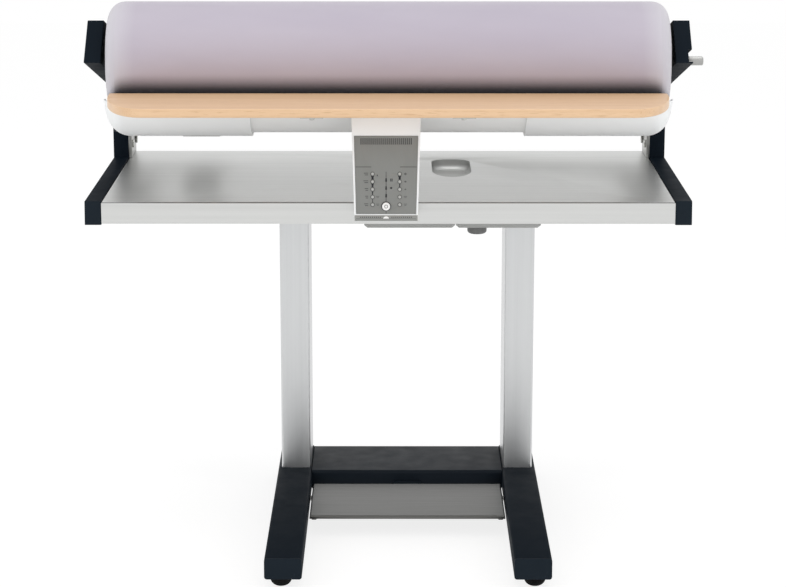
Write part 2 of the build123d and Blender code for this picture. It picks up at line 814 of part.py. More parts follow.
for side, frame_name in ((-1, "left_side_frame"), (1, "right_side_frame")):
    inner_x = head_x + side * inner_half
    outer_x = head_x + side * outer_half
    with BuildPart() as side_frame:
        with BuildSketch(profile_plane(inner_x)):
            add(frame_shape)
        extrude(amount=side * frame_thickness)
        with BuildSketch(profile_plane(inner_x + side * frame_wall)):
            add(frame_cavity.sketch)
        extrude(amount=side * (frame_thickness - 2 * frame_wall), mode=Mode.SUBTRACT)
        if side < 0:
            # The motor's fixed shaft is clamped in a plain bore.
            with BuildSketch(profile_plane(inner_x)):
                with Locations((roller_y, roller_height)):
                    Circle(motor_shaft_radius)
            extrude(amount=side * motor_shaft_grip, mode=Mode.SUBTRACT)
        else:
            with BuildSketch(profile_plane(inner_x)):
                with Locations((roller_y, roller_height)):
                    Circle(bearing_radius)
            extrude(amount=bearing_width, mode=Mode.SUBTRACT)
            with BuildSketch(profile_plane(inner_x)):
                with Locations((roller_y, roller_height)):
                    Circle(crank_shaft_radius + shaft_hole_gap)
            extrude(amount=frame_thickness, mode=Mode.SUBTRACT)
            # A channel along the arm, from the crank stub out through the nose's front face.
            with BuildSketch(profile_plane(outer_x)):
                with Locations((roller_y, roller_height)):
                    Circle(crank_pocket_width / 2)
                    Rectangle(
                        2 * nose_reach,
                        crank_pocket_width,
                        rotation=-arm_slope,
                        align=(Align.MAX, Align.CENTER),
                    )
            extrude(amount=-crank_pocket_depth, mode=Mode.SUBTRACT)
    export(side_frame.part, frame_name)

# Plastic caps that close the front of each lower arm.
with BuildPart() as arm_caps:
    for side in (-1, 1):
        with BuildSketch(profile_plane(head_x + side * inner_half)):
            with BuildLine():
                Polyline(
                    (tray_front, lower_arm_bottom),
                    (tray_front + lower_arm_lean, lower_arm_top),
                    (tray_front + lower_arm_lean + arm_cap, lower_arm_top),
                    (tray_front + arm_cap, lower_arm_bottom),
                    close=True,
                )
            make_face()
        extrude(amount=side * frame_thickness)
        with BuildSketch(standing(tray_front + arm_cap)):
            with Locations((head_x + side * frame_middle, lower_arm_bottom + lower_arm_height / 2)):
                Rectangle(
                    frame_thickness - 2 * (frame_wall + slide_gap),
                    lower_arm_height - 2 * (frame_wall + slide_gap),
                )
        extrude(amount=-cap_plug)
export(arm_caps.part, "arm_caps")

# ---------------------------------------------------------------- shoe pivots and lift drive
plate_bottom = tray_top + slide_gap
plate_rear = back_y - pivot_plate_margin
pivot_plate_top = pivot_height + pivot_plate_rise
plate_hole_grid = (post_depth - 2 * plate_bolt_inset[0], crossbar_height - 2 * plate_bolt_inset[1])
plate_hole_middle = (post_front + post_depth / 2, crossbar_bottom + crossbar_height / 2)
for side, plate_name in ((-1, "left_pivot_plate"), (1, "right_pivot_plate")):
    inner_x = head_x + side * inner_half
    with BuildPart() as pivot_plate_part:
        with BuildSketch(profile_plane(inner_x)):
            with BuildLine():
                Polyline(
                    (post_front, plate_bottom),
                    (plate_rear, plate_bottom),
                    (plate_rear, pivot_plate_top),
                    (pivot_y - pivot_shoulder, pivot_plate_top),
                    (lift_y, lift_z + lift_lug),
                    (lift_y - lift_lug_nose, lift_z),
                    (lift_y, lift_z - lift_lug),
                    (post_front, lift_z - lift_lug_root),
                    close=True,
                )
            make_face()
            with Locations((pivot_y, pivot_height)):
                Circle(pivot_radius, mode=Mode.SUBTRACT)
            with Locations((lift_y, lift_z)):
                Circle(lift_shaft_radius + running_gap, mode=Mode.SUBTRACT)
            with Locations(plate_hole_middle):
                with GridLocations(*plate_hole_grid, 2, 2):
                    Circle(plate_bolt_radius, mode=Mode.SUBTRACT)
        extrude(amount=-side * pivot_plate)
    export(pivot_plate_part.part, plate_name)

with BuildPart() as plate_bolts:
    for side in (-1, 1):
        face_x = head_x + side * inner_half
        with BuildSketch(profile_plane(face_x)):
            with Locations(plate_hole_middle):
                with GridLocations(*plate_hole_grid, 2, 2):
                    Circle(plate_bolt_radius)
        extrude(amount=-side * pivot_plate)
        with BuildSketch(profile_plane(face_x - side * pivot_plate)):
            with Locations(plate_hole_middle):
                with GridLocations(*plate_hole_grid, 2, 2):
                    RegularPolygon(plate_bolt_hex, 6)
        extrude(amount=-side * plate_bolt_head)
export(plate_bolts.part, "plate_bolts")

pin_inner = shoe_arm_spacing - shoe_arm_hub_length / 2 - pivot_pin_reach
with BuildPart() as pivot_pins:
    for side in (-1, 1):
        with BuildSketch(profile_plane(head_x + side * inner_half)):
            with Locations((pivot_y, pivot_height)):
                Circle(pivot_radius)
        extrude(amount=-side * (inner_half - pin_inner))
        with BuildSketch(profile_plane(head_x + side * pin_inner)):
            with Locations((pivot_y, pivot_height)):
                Circle(pivot_collar_radius)
        extrude(amount=-side * pivot_collar)
export(pivot_pins.part, "pivot_pins")

crossbar_half = inner_half - pivot_plate
bracket_level = lift_z - gearbox_size / 2
gearbox_x = head_x - gearbox_offset
with BuildPart() as rear_crossbar:
    with BuildSketch(profile_plane(head_x - crossbar_half)):
        with Locations((crossbar_front + crossbar_depth / 2, crossbar_bottom + crossbar_height / 2)):
            RectangleRounded(crossbar_depth, crossbar_height, crossbar_corner)
            RectangleRounded(
                crossbar_depth - 2 * crossbar_wall,
                crossbar_height - 2 * crossbar_wall,
                crossbar_corner / 2,
                mode=Mode.SUBTRACT,
            )
    extrude(amount=2 * crossbar_half)
    # Welded shelf that carries the lift gearbox.
    with BuildSketch(Plane.XY.offset(bracket_level)):
        with Locations((gearbox_x, crossbar_front)):
            Rectangle(
                gearbox_width,
                crossbar_front - (lift_y - gearbox_size / 2),
                align=(Align.CENTER, Align.MAX),
            )
    extrude(amount=-bracket_sheet)
export(rear_crossbar.part, "rear_crossbar")

with BuildPart() as lift_motor:
    with BuildSketch(profile_plane(gearbox_x - gearbox_width / 2)):
        with Locations((lift_y, lift_z)):
            RectangleRounded(gearbox_size, gearbox_size, gearbox_corner)
            Circle(lift_shaft_radius + running_gap, mode=Mode.SUBTRACT)
    extrude(amount=gearbox_width)
    with BuildSketch(standing(lift_y + gearbox_size / 2)):
        with Locations((gearbox_x, bracket_level + motor_can_radius)):
            Circle(motor_can_radius)
    extrude(amount=-motor_can_length)
export(lift_motor.part, "lift_motor")

shaft_half = inner_half - slide_gap
with BuildPart() as lift_shaft:
    with BuildSketch(profile_plane(head_x - shaft_half)):
        with Locations((lift_y, lift_z)):
            Circle(lift_shaft_radius)
    extrude(amount=2 * shaft_half)
export(lift_shaft.part, "lift_shaft")

# Snail cams under the two shoe arms: the radius grows evenly over the working turn.
cam_rise = (pivot_y - lift_y) * tan(drop)


def cam_reach(turned):
    """Cam radius that has come under the arm after this many degrees of shaft."""
    if turned <= cam_turn:
        return cam_radius + cam_rise * turned / cam_turn
    return cam_radius + cam_rise * (360 - turned) / (360 - cam_turn)


cam_points = [
    (
        lift_y + cam_reach(turned) * cos(radians(90 - turned)),
        lift_z + cam_reach(turned) * sin(radians(90 - turned)),
    )
    for turned in range(0, 360, 20)
]
with BuildPart() as lift_cams:
    for side in (-1, 1):
        with BuildSketch(profile_plane(head_x + side * shoe_arm_spacing - cam_width / 2)):
            with BuildLine():
                Spline(*cam_points, periodic=True)
            make_face()
            with Locations((lift_y, lift_z)):
                Circle(lift_shaft_radius, mode=Mode.SUBTRACT)
        extrude(amount=cam_width)
export(lift_cams.part, "lift_cams")

# ---------------------------------------------------------------- roller
roller_half = roller_length / 2


def roller_section(radius, half, corner, bore, plane_z):
    """Half of the lengthwise section of a roller with rounded ends, drawn on a flat plane."""
    with BuildSketch(Plane.XY.offset(plane_z)) as section:
        with BuildLine():
            Polyline(
                (head_x - half, roller_y + bore),
                (head_x - half, roller_y + radius - corner),
            )
            RadiusArc(
                (head_x - half, roller_y + radius - corner),
                (head_x - half + corner, roller_y + radius),
                corner,
            )
            Line((head_x - half + corner, roller_y + radius), (head_x + half - corner, roller_y + radius))
            RadiusArc(
                (head_x + half - corner, roller_y + radius),
                (head_x + half, roller_y + radius - corner),
                corner,
            )
            Polyline(
                (head_x + half, roller_y + radius - corner),
                (head_x + half, roller_y + bore),
                (head_x - half, roller_y + bore),
            )
        make_face()
    return section.sketch


roller_axis = Axis((head_x, roller_y, roller_height), (1, 0, 0))
felt_radius = roller_radius - cloth_thickness
felt_half = roller_half - cloth_thickness
felt_corner = roller_end_radius - cloth_thickness
tube_half = roller_half - tube_end_inset
with BuildPart() as roller_cover:
    add(
        roller_section(
            roller_radius, roller_half, roller_end_radius, cloth_mouth_radius, roller_height
        )
    )
    revolve(axis=roller_axis)
    with BuildPart(mode=Mode.PRIVATE) as felt_space:
        add(roller_section(felt_radius, felt_half, felt_corner, 0.0, roller_height))
        revolve(axis=roller_axis)
    add(felt_space.part, mode=Mode.SUBTRACT)
export(roller_cover.part, "roller_cover")

with BuildPart() as roller_padding:
    add(roller_section(felt_radius, felt_half, felt_corner, cloth_mouth_radius, roller_height))
    revolve(axis=roller_axis)
    with BuildSketch(profile_plane(head_x - roller_half)):
        with Locations((roller_y, roller_height)):
            Circle(tube_radius)
    extrude(amount=2 * roller_half, mode=Mode.SUBTRACT)
export(roller_padding.part, "roller_padding")

with BuildPart() as roller_tube:
    with BuildSketch(profile_plane(head_x - tube_half)):
        with Locations((roller_y, roller_height)):
            Circle(tube_radius)
            Circle(tube_radius - tube_wall, mode=Mode.SUBTRACT)
    extrude(amount=2 * tube_half)
export(roller_tube.part, "roller_tube")

for disc_name, disc_x, inward, disc_bore in (
    ("left_end_disc", head_x - tube_half, 1, hub_bearing_radius),
    ("right_end_disc", head_x + tube_half, -1, crank_shaft_radius),
):
    with BuildPart() as end_disc:
        with BuildSketch(profile_plane(disc_x)):
            with Locations((roller_y, roller_height)):
                Circle(tube_radius - tube_wall)
                Circle(disc_bore, mode=Mode.SUBTRACT)
        extrude(amount=inward * disc_thickness)
        # Lightening pockets between the hub and the rim.
        with BuildSketch(profile_plane(disc_x)):
            with Locations((roller_y, roller_height)):
                with PolarLocations(disc_pocket_circle, disc_pockets):
                    Circle(disc_pocket_radius)
        extrude(amount=inward * disc_pocket_depth, mode=Mode.SUBTRACT)
    export(end_disc.part, disc_name)

with BuildPart() as left_bearing:
    with BuildSketch(profile_plane(head_x - tube_half)):
        with Locations((roller_y, roller_height)):
            Circle(hub_bearing_radius)
            Circle(motor_shaft_radius + running_gap, mode=Mode.SUBTRACT)
    extrude(amount=disc_thickness)
export(left_bearing.part, "left_bearing")

with BuildPart() as right_bearing:
    with BuildSketch(profile_plane(head_x + inner_half)):
        with Locations((roller_y, roller_height)):
            Circle(bearing_radius)
            Circle(crank_shaft_radius + running_gap, mode=Mode.SUBTRACT)
    extrude(amount=bearing_width)
export(right_bearing.part, "right_bearing")

axle_start = head_x + tube_half - disc_thickness - crank_shaft_root
axle_end = head_x + outer_half - crank_pocket_depth
with BuildPart() as crank_axle:
    with BuildSketch(profile_plane(axle_start)):
        with Locations((roller_y, roller_height)):
            Circle(crank_shaft_radius)
    extrude(amount=axle_end - axle_start)
    with BuildSketch(profile_plane(axle_end)):
        with Locations((roller_y, roller_height)):
            RegularPolygon(crank_flats / 2, 6, major_radius=False)
    extrude(amount=crank_pocket_depth + crank_reach)
    chamfer(crank_axle.faces().sort_by(Axis.X)[-1].edges(), length=crank_chamfer)
export(crank_axle.part, "crank_axle")

motor_left = head_x - roller_half + motor_inset
motor_right = motor_left + motor_length
motor_shaft_start = head_x - inner_half - motor_shaft_grip
with BuildPart() as roller_motor:
    with BuildSketch(profile_plane(motor_shaft_start)):
        with Locations((roller_y, roller_height)):
            Circle(motor_shaft_radius)
    extrude(amount=motor_left - motor_shaft_start)
    with BuildSketch(profile_plane(motor_left)):
        with Locations((roller_y, roller_height)):
            Circle(motor_radius)
    extrude(amount=motor_length)
    with BuildSketch(profile_plane(motor_right)):
        with Locations((roller_y, roller_height)):
            Circle(crown_shaft_radius + running_gap)
    extrude(amount=-(crown_shaft_length + slide_gap), mode=Mode.SUBTRACT)
export(roller_motor.part, "roller_motor")

with BuildPart() as drive_crown:
    with BuildSketch(profile_plane(motor_right - crown_shaft_length)):
        with Locations((roller_y, roller_height)):
            Circle(crown_shaft_radius)
    extrude(amount=crown_shaft_length + crown_gap)
    with BuildSketch(profile_plane(motor_right + crown_gap)):
        with Locations((roller_y, roller_height)):
            Circle(tube_radius - tube_wall)
            with PolarLocations(disc_pocket_circle, crown_holes):
                Circle(crown_hole_radius, mode=Mode.SUBTRACT)
    extrude(amount=crown_thickness)
export(drive_crown.part, "drive_crown")

# ---------------------------------------------------------------- heated shoe


def shoe_layer(inner, thickness, length, name, margin=0.0):
    """One curved layer of the shoe, open at the top, on the shoe's own centre line."""
    with BuildPart() as layer:
        with BuildSketch(profile_plane(head_x - length / 2)):
            with Locations((shoe_y, shoe_z)):
                Circle(inner + thickness)
                Circle(inner, mode=Mode.SUBTRACT)
            with Locations((shoe_y, shell_top - margin)):
                Rectangle(
                    4 * cover_radius,
                    4 * cover_radius,
                    align=(Align.CENTER, Align.MIN),
                    mode=Mode.SUBTRACT,
                )
        extrude(amount=length)
    export(layer.part, name)


shoe_layer(shoe_inner, shoe_plate_thickness, shoe_length, "shoe_plate")
shoe_layer(heater_inner, heater_thickness, heater_length, "heater_mat", margin=heater_margin)
shoe_layer(
    insulation_inner,
    insulation_thickness,
    heater_length,
    "shoe_insulation",
    margin=insulation_margin,
)
shoe_layer(casing_inner, casing_thickness, shoe_length, "shoe_casing")

cover_outer = inner_half - cover_end_gap
arm_slot = shoe_arm_thickness + 2 * arm_slot_gap
for side, cover_name in ((-1, "left_shoe_cover"), (1, "right_shoe_cover")):
    end_x = head_x + side * cover_outer
    bend_x = head_x + side * (cover_outer - cover_end_radius)
    start_x = head_x + side * (cover_outer - cover_length)
    wall_x = end_x - side * cover_wall
    bend_radius = cover_radius - cover_end_radius
    with BuildPart() as shoe_cover:
        with BuildSketch(Plane.XY.offset(shoe_z)):
            with BuildLine():
                Polyline(
                    (bend_x, shoe_y + cover_radius),
                    (start_x, shoe_y + cover_radius),
                    (start_x, shoe_y + casing_outer + slide_gap),
                    (start_x + side * cover_rib, shoe_y + casing_outer + slide_gap),
                    (start_x + side * cover_rib, shoe_y + cover_radius - cover_wall),
                    (bend_x, shoe_y + cover_radius - cover_wall),
                )
                RadiusArc(
                    (bend_x, shoe_y + cover_radius - cover_wall),
                    (wall_x, shoe_y + bend_radius),
                    side * (cover_end_radius - cover_wall),
                )
                Line((wall_x, shoe_y + bend_radius), (end_x, shoe_y + bend_radius))
                RadiusArc(
                    (end_x, shoe_y + bend_radius),
                    (bend_x, shoe_y + cover_radius),
                    -side * cover_end_radius,
                )
            make_face()
        revolve(axis=Axis((head_x, shoe_y, shoe_z), (1, 0, 0)))
        with BuildSketch(Plane.XY.offset(shell_top)):
            with Locations((head_x, shoe_y)):
                Rectangle(4 * inner_half, 4 * cover_radius)
        extrude(amount=4 * cover_radius, mode=Mode.SUBTRACT)
        # Slot for the shoe's arm, open at the cover's rear edge.
        with BuildSketch(Plane.XY.offset(shell_top)):
            with Locations((head_x + side * shoe_arm_spacing, shoe_y + arm_slot_front)):
                Rectangle(arm_slot, 2 * cover_radius, align=(Align.CENTER, Align.MIN))
        extrude(amount=-2 * cover_radius, mode=Mode.SUBTRACT)
    export(shoe_cover.part, cover_name)

arm_seat = casing_outer + layer_gap
cradle_bottom = shoe_z - arm_seat - shoe_arm_wall
cradle_top = cradle_bottom + cradle_height
knee = (shoe_y + knee_setback, shoe_z - knee_drop)
shoulder = (shoe_y + shoulder_setback, shoe_z - shoulder_drop)
cam_clear = 2 * cam_radius
cam_front_low = (lift_y - cam_clear, shoe_arm_under)
cam_front_high = (lift_y - cam_clear, shoe_arm_under + shoe_arm_depth)
with BuildPart() as shoe_arms:
    for side in (-1, 1):
        arm_x = head_x + side * shoe_arm_spacing
        with BuildSketch(profile_plane(arm_x - shoe_arm_thickness / 2)):
            with BuildLine():
                Polyline(
                    cam_front_low,
                    (lift_y + cam_clear, shoe_arm_under),
                    (pivot_y, pivot_height - shoe_arm_hub_radius),
                    (pivot_y, pivot_height + shoe_arm_hub_radius),
                    cam_front_high,
                    close=True,
                )
            make_face()
            # The bar from the cam to the shoe, and the cradle that holds the casing.
            with BuildLine(mode=Mode.PRIVATE) as bar:
                Polyline(knee, cam_front_low, cam_front_high, shoulder, close=True)
            make_hull(bar.edges())
            with BuildLine(mode=Mode.PRIVATE) as cradle:
                Polyline(
                    (shoe_y + cradle_front, cradle_bottom),
                    knee,
                    shoulder,
                    (shoe_y + cradle_front, cradle_top),
                    close=True,
                )
            make_hull(cradle.edges())
            with Locations((pivot_y, pivot_height)):
                Circle(shoe_arm_hub_radius)
            with Locations((shoe_y, shoe_z)):
                Circle(arm_seat, mode=Mode.SUBTRACT)
        extrude(amount=shoe_arm_thickness)
        with BuildSketch(profile_plane(arm_x - shoe_arm_hub_length / 2)):
            with Locations((pivot_y, pivot_height)):
                Circle(shoe_arm_tube_radius)
        extrude(amount=shoe_arm_hub_length)
        with BuildSketch(profile_plane(arm_x - shoe_arm_hub_length / 2)):
            with Locations((pivot_y, pivot_height)):
                Circle(pivot_radius + running_gap)
        extrude(amount=shoe_arm_hub_length, mode=Mode.SUBTRACT)
export(shoe_arms.part, "shoe_arms")

# ---------------------------------------------------------------- feed board and its brackets
board_half = board_length / 2
corner_depth = board_depth - board_side_straight
with BuildPart() as feed_board:
    with BuildSketch(Plane.XY.offset(board_bottom)):
        with BuildLine():
            Polyline(
                (head_x - board_half, board_rear - board_side_straight),
                (head_x - board_half, board_rear),
                (head_x + board_half, board_rear),
                (head_x + board_half, board_rear - board_side_straight),
            )
            EllipticalCenterArc(
                (head_x + board_half - board_corner, board_rear - board_side_straight),
                board_corner,
                corner_depth,
                start_angle=270,
                arc_size=90,
            )
            Line(
                (head_x + board_half - board_corner, board_front),
                (head_x - board_half + board_corner, board_front),
            )
            EllipticalCenterArc(
                (head_x - board_half + board_corner, board_rear - board_side_straight),
                board_corner,
                corner_depth,
                start_angle=180,
                arc_size=90,
            )
        make_face()
    extrude(amount=board_thickness)
    fillet(feed_board.edges().group_by(Axis.Z)[-1], radius=board_edge)
    fillet(feed_board.edges().group_by(Axis.Z)[0], radius=board_edge)
export(feed_board.part, "feed_board")

bolt_y = board_front + bolt_inset
plate_front = bolt_y - bracket_lead
bracket_sheet_z = board_bottom - bracket_sheet
casing_edge = shoe_y - sqrt(casing_outer**2 - (shoe_z - shell_top) ** 2)
with BuildPart() as board_brackets:
    for side in (-1, 1):
        bracket_x = head_x + side * bracket_spacing / 2
        with BuildSketch(Plane.XY.offset(board_bottom)):
            with Locations((bracket_x, plate_front)):
                Rectangle(
                    bracket_width,
                    casing_edge - plate_front,
                    align=(Align.CENTER, Align.MIN),
                )
            with Locations((bracket_x, bolt_y)):
                Circle(bolt_shank_radius, mode=Mode.SUBTRACT)
        extrude(amount=-bracket_sheet)
        # Rib down to the front of the shoe's casing.
        with BuildSketch(profile_plane(bracket_x - bracket_sheet / 2)):
            with BuildLine():
                Polyline(
                    (plate_front + rib_start, bracket_sheet_z),
                    (shoe_y - casing_inboard, bracket_sheet_z),
                    (shoe_y - casing_inboard, bracket_sheet_z - rib_depth),
                    (casing_edge + rib_root, bracket_sheet_z - rib_depth),
                    close=True,
                )
            make_face()
            with Locations((shoe_y, shoe_z)):
                Circle(casing_outer + layer_gap, mode=Mode.SUBTRACT)
        extrude(amount=bracket_sheet)
export(board_brackets.part, "board_brackets")

with BuildPart() as board_bolts:
    with BuildSketch(Plane.XY.offset(bracket_sheet_z)):
        with Locations(*[(head_x + side * bracket_spacing / 2, bolt_y) for side in (-1, 1)]):
            Circle(dome_radius)
    extrude(amount=-dome_height)
    fillet(board_bolts.edges().group_by(Axis.Z)[0], radius=dome_round)
    with BuildSketch(Plane.XY.offset(bracket_sheet_z)):
        with Locations(*[(head_x + side * bracket_spacing / 2, bolt_y) for side in (-1, 1)]):
            Circle(bolt_shank_radius)
    extrude(amount=bracket_sheet)
export(board_bolts.part, "board_bolts")

# ---------------------------------------------------------------- console
console_x = head_x + console_offset
fascia_y = tray_front + fascia_setback
tilt = radians(fascia_tilt)
fascia_plane = Plane(
    origin=(console_x, fascia_y, fascia_middle_height),
    x_dir=(1, 0, 0),
    z_dir=(0, -cos(tilt), sin(tilt)),
)


def trapezoid(top, bottom, top_width, bottom_width):
    """A panel outline that tapers downwards, on the fascia's plane."""
    with BuildSketch(mode=Mode.PRIVATE) as panel:
        with BuildLine():
            Polyline(
                (-bottom_width / 2, bottom),
                (bottom_width / 2, bottom),
                (top_width / 2, top),
                (-top_width / 2, top),
                close=True,
            )
        make_face()
    return panel.sketch


panel_top = fascia_height / 2
panel_bottom = -fascia_height / 2
# Drawn past the board's underside, because it is cut level there.
housing_top = (shell_top - fascia_middle_height) / cos(tilt) + console_foot
taper = (fascia_top_width - fascia_bottom_width) / fascia_height
housing_bottom = panel_bottom - console_foot
housing_top_width = fascia_top_width + 2 * console_border + taper * (housing_top - panel_top)
housing_bottom_width = fascia_bottom_width + 2 * console_border - taper * console_foot
neck_front = fascia_y + console_depth - neck_lap
with BuildPart() as console_housing:
    with BuildSketch(fascia_plane):
        add(trapezoid(housing_top, housing_bottom, housing_top_width, housing_bottom_width))
    extrude(amount=-console_depth)
    # Neck under the board, back to the casing of the shoe.
    with BuildSketch(Plane.XY.offset(neck_bottom)):
        with Locations((console_x, neck_front)):
            Rectangle(
                neck_width,
                shoe_y - casing_inboard - neck_front,
                align=(Align.CENTER, Align.MIN),
            )
    extrude(amount=shell_top - neck_bottom)
    with BuildSketch(profile_plane(console_x - neck_width)):
        with Locations((shoe_y, shoe_z)):
            Circle(casing_outer + layer_gap)
    extrude(amount=2 * neck_width, mode=Mode.SUBTRACT)
    with BuildSketch(Plane.XY.offset(shell_top)):
        with Locations((console_x, fascia_y)):
            Rectangle(4 * neck_width, 4 * console_depth)
    extrude(amount=4 * console_foot, mode=Mode.SUBTRACT)
    # Open box behind the fascia.
    with BuildSketch(fascia_plane):
        add(trapezoid(panel_top, panel_bottom, fascia_top_width, fascia_bottom_width))
    extrude(amount=-fascia_thickness, mode=Mode.SUBTRACT)
    with BuildSketch(fascia_plane.offset(-fascia_thickness)):
        offset(
            trapezoid(panel_top, panel_bottom, fascia_top_width, fascia_bottom_width),
            amount=-console_wall,
        )
    extrude(amount=-(console_depth - fascia_thickness - console_wall), mode=Mode.SUBTRACT)
export(console_housing.part, "console_housing")

lamp_places = [
    (column, panel_top - lamp_first_drop - row * lamp_pitch)
    for column in lamp_columns
    for row in range(lamp_rows)
]
button_place = (0.0, panel_top - button_drop)
standoff_grid = (fascia_bottom_width - 2 * standoff_inset, fascia_height - 2 * standoff_inset)
with BuildPart() as console_fascia:
    with BuildSketch(fascia_plane):
        add(
            trapezoid(
                panel_top - fascia_fit,
                panel_bottom + fascia_fit,
                fascia_top_width - 2 * fascia_fit,
                fascia_bottom_width - 2 * fascia_fit,
            )
        )
        with Locations((0, panel_top - vent_drop)):
            with GridLocations(vent_pitch, 1.0, vent_count, 1):
                Rectangle(*vent_size, mode=Mode.SUBTRACT)
        with Locations(*lamp_places):
            Circle(lamp_radius, mode=Mode.SUBTRACT)
        with Locations(button_place):
            Circle(button_radius + running_gap, mode=Mode.SUBTRACT)
    extrude(amount=-fascia_thickness)
    with BuildSketch(fascia_plane.offset(-fascia_thickness)):
        with GridLocations(*standoff_grid, 2, 2):
            Circle(standoff_radius)
    extrude(amount=-standoff_length)
export(console_fascia.part, "console_fascia")

with BuildPart() as indicator_lamps:
    with BuildSketch(fascia_plane.offset(lamp_proud)):
        with Locations(*lamp_places):
            Circle(lamp_radius)
    extrude(amount=-lamp_length)
export(indicator_lamps.part, "indicator_lamps")

with BuildPart() as start_button:
    with BuildSketch(fascia_plane.offset(button_proud)):
        with Locations(button_place):
            Circle(button_radius)
    extrude(amount=-button_length)
    with BuildSketch(fascia_plane.offset(button_proud)):
        with Locations(button_place):
            Circle(button_ring[1])
            Circle(button_ring[0], mode=Mode.SUBTRACT)
    extrude(amount=-button_ring_depth, mode=Mode.SUBTRACT)
    with BuildSketch(fascia_plane.offset(-fascia_thickness - slide_gap)):
        with Locations(button_place):
            Circle(button_radius + button_flange)
    extrude(amount=-button_flange)
export(start_button.part, "start_button")

push_gap = button_travel + slide_gap
with BuildPart() as circuit_board:
    with BuildSketch(fascia_plane.offset(-fascia_thickness - standoff_length)):
        Rectangle(standoff_grid[0] + 2 * circuit_margin, standoff_grid[1] + 2 * circuit_margin)
    extrude(amount=-circuit_thickness)
    # Push switch behind the button, chips and a row of terminals.
    with BuildSketch(fascia_plane.offset(-fascia_thickness - standoff_length)):
        with Locations(button_place):
            Rectangle(push_switch_size, push_switch_size)
    extrude(amount=standoff_length + fascia_thickness - button_length + button_proud - push_gap)
    with BuildSketch(fascia_plane.offset(-fascia_thickness - standoff_length - circuit_thickness)):
        with Locations((0, terminal_rise)):
            Rectangle(*terminal_row)
        with Locations((0, -chip_drop)):
            Rectangle(chip_size, chip_size)
    extrude(amount=-circuit_parts_height)
export(circuit_board.part, "circuit_board")

# Grey strip across the foot of the console.
with BuildPart() as console_trim:
    with BuildSketch(fascia_plane):
        with Locations((0, housing_bottom + trim_rise + trim_height / 2)):
            Rectangle(housing_bottom_width - 2 * trim_margin, trim_height)
    extrude(amount=trim_thickness)
    chamfer(console_trim.faces().sort_by(Axis.Y)[0].edges(), length=trim_chamfer)
export(console_trim.part, "console_trim")
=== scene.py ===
"""A free-standing flatwork ironer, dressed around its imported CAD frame."""

import json
from math import acos, cos, pi, radians, sin

import bmesh
import bpy
from mathutils import Euler, Matrix, Vector


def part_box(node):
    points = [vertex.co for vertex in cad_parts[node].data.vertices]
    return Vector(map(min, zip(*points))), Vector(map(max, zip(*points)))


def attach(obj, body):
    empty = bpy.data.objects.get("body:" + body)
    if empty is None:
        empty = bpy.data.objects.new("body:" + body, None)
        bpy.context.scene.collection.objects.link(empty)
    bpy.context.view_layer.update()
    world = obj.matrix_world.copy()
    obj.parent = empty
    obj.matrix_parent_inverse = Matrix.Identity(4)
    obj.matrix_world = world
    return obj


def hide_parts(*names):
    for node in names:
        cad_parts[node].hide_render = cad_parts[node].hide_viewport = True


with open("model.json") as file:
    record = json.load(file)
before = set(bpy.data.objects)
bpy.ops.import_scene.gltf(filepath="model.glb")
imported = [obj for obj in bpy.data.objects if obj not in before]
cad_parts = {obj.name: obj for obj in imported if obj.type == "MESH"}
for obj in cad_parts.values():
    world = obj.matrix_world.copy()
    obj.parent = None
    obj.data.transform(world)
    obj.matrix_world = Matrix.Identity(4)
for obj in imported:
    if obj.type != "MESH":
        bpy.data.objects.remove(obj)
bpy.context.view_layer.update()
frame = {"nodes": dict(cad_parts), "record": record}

# ------------------------------ the studio
# A white floor under a white room, lit by large soft boxes, with the ironer seen from the front,
# a little above the tray. None of this belongs to the ironer.
CAMERA_PLACE = (0.0, -3.715, 1.222)
CAMERA_PITCH = 12.869
CAMERA_YAW = 0.079
CAMERA_LENS = 111.2
CAMERA_SENSOR = 36.0
CAMERA_REACH = 60.0
FLOOR_SIZE = 14.0
PAPER_WHITE = 0.93
SEEN_PAPER = 0.26
PAPER_GLOW = 0.81
ROOM_LIGHT = 0.70
HIGH_AIM = (0.0, 0.0, 0.7)
LOW_AIM = (0.0, 0.0, 0.6)

camera_data = bpy.data.cameras.new("studio_camera")
camera_data.lens = CAMERA_LENS
camera_data.sensor_width = CAMERA_SENSOR
camera_data.sensor_fit = "HORIZONTAL"
camera_data.clip_end = CAMERA_REACH
camera = bpy.data.objects.new("studio_camera", camera_data)
camera.location = CAMERA_PLACE
camera.rotation_euler = Euler((radians(90.0 - CAMERA_PITCH), 0.0, radians(CAMERA_YAW)))
bpy.context.collection.objects.link(camera)
bpy.context.scene.camera = camera
bpy.context.scene.view_settings.view_transform = "Standard"


def feed(tree, value, socket):
    """Links another socket's value in, or sets a plain number or tone."""
    if isinstance(value, bpy.types.NodeSocket):
        tree.links.new(value, socket)
    else:
        socket.default_value = (*value, 1.0) if isinstance(value, tuple) else value


def worked(tree, operation, *values):
    """The result of one sum on sockets or plain numbers."""
    node = tree.nodes.new("ShaderNodeMath")
    node.operation = operation
    for value, socket in zip(values, node.inputs):
        feed(tree, value, socket)
    return node.outputs[0]


def white_to_the_eye(tree):
    """1 for rays from the camera and for those it sees in metal and through glass."""
    rays = tree.nodes.new("ShaderNodeLightPath").outputs
    seen = worked(tree, "MAXIMUM", rays["Is Camera Ray"], rays["Is Glossy Ray"])
    return worked(tree, "MAXIMUM", seen, rays["Is Transmission Ray"])


def grey_shader(tree, kind, tone, strength=None):
    """A shader of one grey tone, and of one strength where it gives light."""
    node = tree.nodes.new(kind)
    node.inputs["Color"].default_value = (tone, tone, tone, 1.0)
    if strength is not None:
        node.inputs["Strength"].default_value = strength
    return node.outputs[0]


